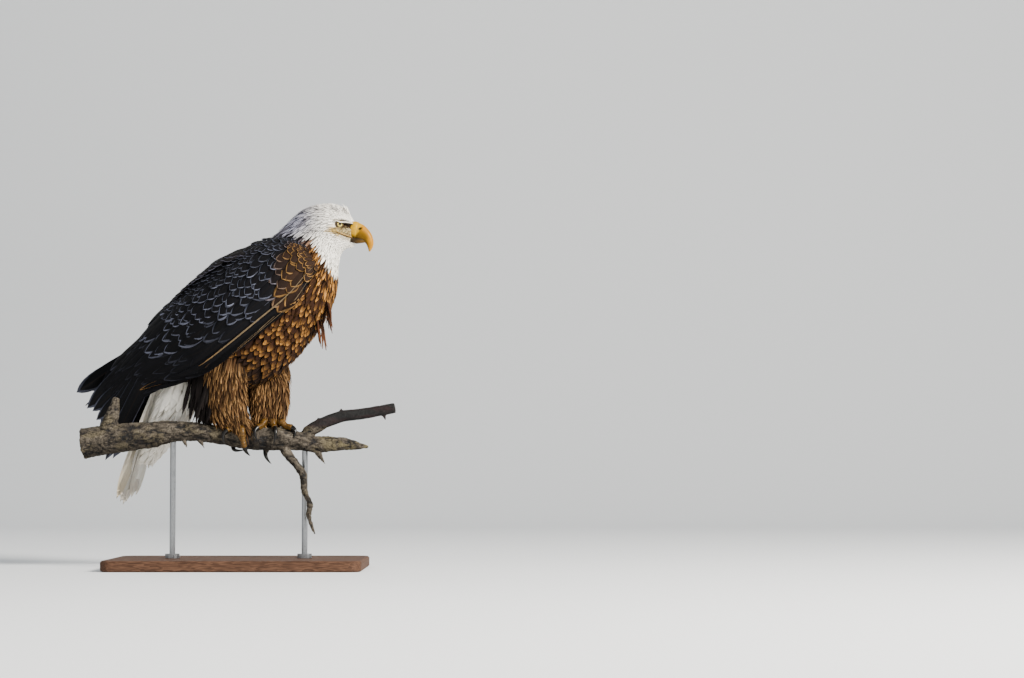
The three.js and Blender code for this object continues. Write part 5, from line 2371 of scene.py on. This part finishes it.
RIGHT_FOOT = Foot(Side.RIGHT, 45, -4, (
    Toe("inner", 24, -18, (4, 12, -22)),
    Toe("middle", 8, 126, (12, 5, -19)),
    Toe("outer", -27, 62, (-3, -4, -30)),
    Toe("hind", -18, -130, (25, -17, -9)),
))
LEFT_FOOT = Foot(Side.LEFT, 105, 4, (
    Toe("inner", -25, 42, (4, -6, -32)),
    Toe("middle", 10, 46, (-2, -6, -35)),
    Toe("outer", 44, 24, (4, -10, -22)),
    Toe("hind", -12, -142, (12, -6, -27)),
))


@dataclass
class Perch:
    """The cut branch: rough bark with lichen, a smooth upper limb, a twig, a stump and a thorn."""

    voxel: float = 1.7
    upper: Array = listed(
        [168, 5, 262, 10],
        [184, 7, 282, 12.5],
        [212, 8, 298, 12.5],
        [250, 10, 312, 12],
        [290, 10, 317, 11.5],
        [328, 9, 323.5, 11],
        [359, 8, 329.5, 10.5],
    )
    twig: Array = listed(
        [128, -7, 250, 9],
        [146, -15, 228, 9],
        [163, -20, 209, 8.5],
        [174, -24, 190, 7.5],
        [177, -25, 158, 6.5],
        [188, -26, 134, 6.5],
        [186, -27, 108, 5],
        [198, -27, 72, 2.2],
    )
    stump: Array = listed(
        [-226, -4, 270, 23.0],
        [-223, -3, 300, 17.0],
        [-217, -2, 326, 12.0],
        [-211, -2, 350, 6.5],
    )
    thorn: Array = listed(
        [196, -6, 247, 8],
        [206, -7, 232, 5],
        [217, -8, 214, 1.2],
    )
    spurs: tuple[tuple[float, ...], ...] = (
        (-72, -6, 264, 7, -17), (-38, -6, 262, 8, -16), (92, -4, 246, 6, -12), (232, -8, 262, -4, 9),
        (246, 9, 318, 3, 11), (334, 9, 318, 6, -14), (205, 8, 302, -5, 8),
    )

    def forms(self) -> Patchwork:
        """The limb's, twig's, stump's, thorn's and spurs' closed tubes.

        Returns:
            The tubes.
        """
        limbs = ((LIMB_MAIN, 240), (self.upper, 120), (self.twig, 120), (self.stump, 60), (self.thorn, 40))
        tubes = [tube_rings(rows, count, 40) for rows, count in limbs]
        for x, y, z, dx, dz in self.spurs:
            rows = [[x, y, z, 5.0], [x + 0.4 * dx, y - 1, z + 0.4 * dz, 3.4], [x + dx, y - 2, z + dz, 1.3]]
            tubes.append(tube_rings(np.array(rows), 16, 16))
        return Patchwork.joined([Patchwork(*outward_tube(rings)) for rings in tubes])

    def colours(self, points: Array, normals: Array, bark: Array, smooth_limb: Array) -> Array:
        """Bark by its height with painted shade on its underside, red skin on the smooth limb, lichen, and
        growth rings on both cut ends.

        Args:
            points: the vertices in mm.
            normals: their normals.
            bark: how far each was raised.
            smooth_limb: 1 on the upper limb.

        Returns:
            The colours.
        """
        smooth_limb = smooth_limb[:, None]
        dark, pale, red, moss, wood = (
            srgb(code) for code in ("#100c0a", "#544d43", "#1c1213", "#635a36", "#7d6748")
        )
        # Pale on raised bark and dark in its cracks, times painted shade that darkens the faces turned
        # downwards.
        level = (smoothstep(-2.4, 1.6, bark) * (0.62 + 0.38 * smoothstep(-0.5, 0.5, normals[:, 2])))[:, None]
        patches = smoothstep(0.0, 0.5, fractal(points, 26.0, 3, 12))
        lichen = (patches * (0.35 + 0.65 * smoothstep(150, 235, points[:, 0])))[:, None] * (1 - smooth_limb)
        red = red * (1 + 0.5 * fractal(points * [0.3, 1, 1], 8.0, 3, 21))[:, None]
        tint = blend(blend(dark, pale, level), red, smooth_limb)
        tint = blend(tint, moss, 0.7 * lichen * level)
        for (x, y, z, *_), way in ((LIMB_MAIN[0], -1), (self.upper[-1], 1)):
            away = np.hypot(points[:, 1] - y, points[:, 2] - z)
            face = smoothstep(0.7, 0.85, way * normals[:, 0]) * (way * (points[:, 0] - x) > -8) * (away < 26)
            rings = 0.7 + 0.3 * np.sin(away * 2.2 + 2 * noise(points, 9.0, 5))
            tint = tint * (1 - face[:, None]) + wood * (rings * face)[:, None]
        return np.clip(tint, 0.01, 1)

    def build(self) -> bpy.types.Object:
        """Fuse the tubes by a fine voxel grid, then roughen the surface along its normals.

        Returns:
            The piece.
        """
        rough = self.forms().to_object("perch_forms")
        shift_to_branch(rough)
        mesh, points = fused(rough, "perch_bark", self.voxel, 6)
        normals = np.empty(points.size, np.float32)
        mesh.vertex_normals.foreach_get("vector", normals)
        points, normals = points.astype(float) / MM, normals.reshape(-1, 3).astype(float)
        smooth_limb = smoothstep(284, 296, points[:, 2]) * (points[:, 0] > 125)
        knobs = fractal(points * [0.6, 1, 1], 10.0, 4, 3)
        cracks = np.abs(fractal(points * [0.45, 1, 1], 5.5, 2, 8))
        fine = fractal(points * [0.6, 1, 1], 4.5, 2, 17)
        bark = 1.5 * knobs - 1.8 * smoothstep(0.25, 0.0, cracks) + 0.6 * fine
        points = points + normals * (bark * (1 - 0.8 * smooth_limb))[:, None]
        mesh.vertices.foreach_set("co", (points * MM).astype(np.float32).ravel())
        paint(mesh, "tint", self.colours(points, normals, bark, smooth_limb))
        mesh.update()
        mesh.materials.append(SkinFinish(0.9, 420.0, 0.0012, 0.0, 0.2, speck=0.4).build("perch_bark"))
        perch = placed("perch_bark", mesh)
        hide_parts("perch_limb", "perch_fork", "perch_twig", "perch_stump", "perch_thorn")
        LOG.info("perch: %d vertices", len(points))
        return perch


# ---- stand and studio -----------------------------------------------------------------------


@dataclass(frozen=True)
class WoodFinish:
    """Oiled dark wood with grain along X."""

    roughness: float = 0.7

    def build(self, name: str) -> bpy.types.Material:
        """Make the material.

        Args:
            name: the material's name.

        Returns:
            The material.
        """
        g = Graph(name)
        rings = g.noise(9.0, 3.0, g.stretched(1.0, 9.0, 9.0))
        grain = g.noise(60.0, 6.0, g.stretched(0.5, 12.0, 12.0))
        band = g.math("FRACT", g.math("MULTIPLY_ADD", rings, 9.0, g.math("MULTIPLY", grain, 0.7)))
        share = g.ramp(band, 0.0, 0.9)
        board = g.mix(srgb("#5a4030"), srgb("#3b281d"), share)
        g.colour(g.mix(board, srgb("#2c1d15"), g.ramp(grain, 0.5, 0.75)))
        g.set(Roughness=self.roughness, Specular_IOR_Level=0.12)
        g.relief(g.math("ADD", band, grain), 0.15, 0.0004)
        return g.material


@dataclass(frozen=True)
class SteelFinish:
    """Brushed steel with fine scratches along the rod."""

    roughness: tuple[float, float] = (0.24, 0.38)

    def build(self, name: str) -> bpy.types.Material:
        """Make the material.

        Args:
            name: the material's name.

        Returns:
            The material.
        """
        g = Graph(name)
        g.set(Base_Color=(*srgb("#8f9193"), 1.0), Metallic=1.0, Anisotropic=0.4)
        scratch = g.noise(300.0, 3.0, g.stretched(6.0, 6.0, 0.3))
        g.feed(g.shader.inputs["Roughness"], g.ramp(scratch, 0.3, 0.7, *self.roughness))
        g.relief(scratch, 0.1, 0.0001)
        return g.material


@dataclass
class Stand:
    """The base, two rods and their collars keep their own solids and get new finishes."""

    def dress(self, nodes: dict[str, bpy.types.Object]) -> None:
        """Put the finishes on the stand's nodes.

        Args:
            nodes: the objects by name.
        """
        wood, steel = WoodFinish().build("base_wood"), SteelFinish().build("rod_steel")
        for name, node in nodes.items():
            if name.startswith("stand_"):
                for slot in node.material_slots:
                    slot.material = wood if name == "stand_base" else steel


def aimed(
    name: str, data: Any, place: tuple[float, float, float], target: tuple[float, float, float]
) -> bpy.types.Object:
    """A lamp or camera at a place, turned to look at a target.

    Args:
        name: the object's name.
        data: its lamp or camera.
        place: where it stands.
        target: what it looks at.

    Returns:
        The object.
    """
    thing = placed(name, data)
    thing.location = place
    thing.rotation_mode = "QUATERNION"
    thing.rotation_quaternion = (Vector(target) - Vector(place)).to_track_quat("-Z", "Y")
    return thing


@dataclass
class Studio:
    """A pale floor that curves up behind, soft lights and the camera."""

    eye: tuple[float, float, float] = (0.559, -5.0, 0.208)
    target: tuple[float, float, float] = (0.559, 0.0, 0.4706)
    lens: float = 85.75
    lit: tuple[float, float, float] = (0.05, 0, 0.5)

    def floor(self) -> bpy.types.Object:
        """A sheet swept from the floor up into a wall.

        Returns:
            The floor.
        """
        a = np.linspace(0, np.pi / 2, 24)
        y = np.concatenate([[-9.0], 3.5 + 2.5 * np.sin(a), [6.0]])
        z = np.concatenate([[0.0], 2.5 - 2.5 * np.cos(a), [9.0]])
        x = np.array([-14.0, 14.0])
        points = np.stack([np.tile(x, len(y)), np.repeat(y, 2), np.repeat(z, 2)], -1)
        mesh = bpy.data.meshes.new("studio_floor")
        mesh.from_pydata(points.tolist(), [], grid_triangles(len(y), 2).tolist())
        mesh.shade_smooth()
        g = Graph("studio_floor")
        g.set(Base_Color=(*srgb("#dfe1e2"), 1.0), Roughness=0.9)
        mesh.materials.append(g.material)
        floor = placed("studio_floor", mesh)
        return floor

    def light(self, name: str, place: tuple[float, float, float], size: float, power: float) -> None:
        """A square area light aimed at the bird.

        Args:
            name: its name.
            place: where it stands.
            size: its edge in metres.
            power: in watts.
        """
        data = bpy.data.lights.new(name, "AREA")
        data.size, data.energy, data.color = size, power, (1.0, 0.955, 0.89)
        aimed(name, data, place, self.lit)

    def build(self) -> None:
        """Set the floor, the lights, the sky and the camera."""
        self.floor()
        self.light("key", (3.9, -3.1, 2.9), 1.6, 1000)
        self.light("fill", (-3.2, -3.4, 1.6), 3.0, 45)
        self.light("rim", (-1.6, 2.6, 3.4), 2.0, 30)
        world = bpy.data.worlds.new("studio")
        world.use_nodes = True
        sky = world.node_tree.nodes["Background"]
        sky.inputs[0].default_value = (0.80, 0.86, 0.93, 1)
        sky.inputs[1].default_value = 0.55
        bpy.context.scene.world = world
        data = bpy.data.cameras.new("camera")
        data.lens = self.lens
        bpy.context.scene.camera = aimed("camera", data, self.eye, self.target)


# ---- the whole ------------------------------------------------------------------------------


def main() -> None:
    """Build every piece and set it on the one body, then dress the stand and set up the studio."""
    logging.basicConfig(level=logging.INFO, format="%(message)s")
    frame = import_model()
    pieces = [Skin().build(), *BodyPlumage().build()]
    shag = ShagPlumage()
    pieces += [shag.thigh(side) for side in Side] + [shag.undertail()]
    for side in Side:
        wing = WingPlumage(side)
        coverts, primaries = wing.coverts(), wing.primaries()
        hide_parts(f"wing_{side.word}_primaries")
        eye = Eye(side)
        pieces += [coverts, primaries, eye.ball(), eye.lids(), *FaceFolds(side).build()]
    tail = TailPlumage().build()
    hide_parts("tail")
    pieces += [tail, *Bill().build(), *RIGHT_FOOT.build(), *LEFT_FOOT.build(), Perch().build()]
    for piece in pieces:
        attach(piece, "root")
        LOG.info("%s: %d faces", piece.name, len(piece.data.polygons))
    Stand().dress(frame["nodes"])
    Studio().build()


if __name__ == "__main__":
    main()
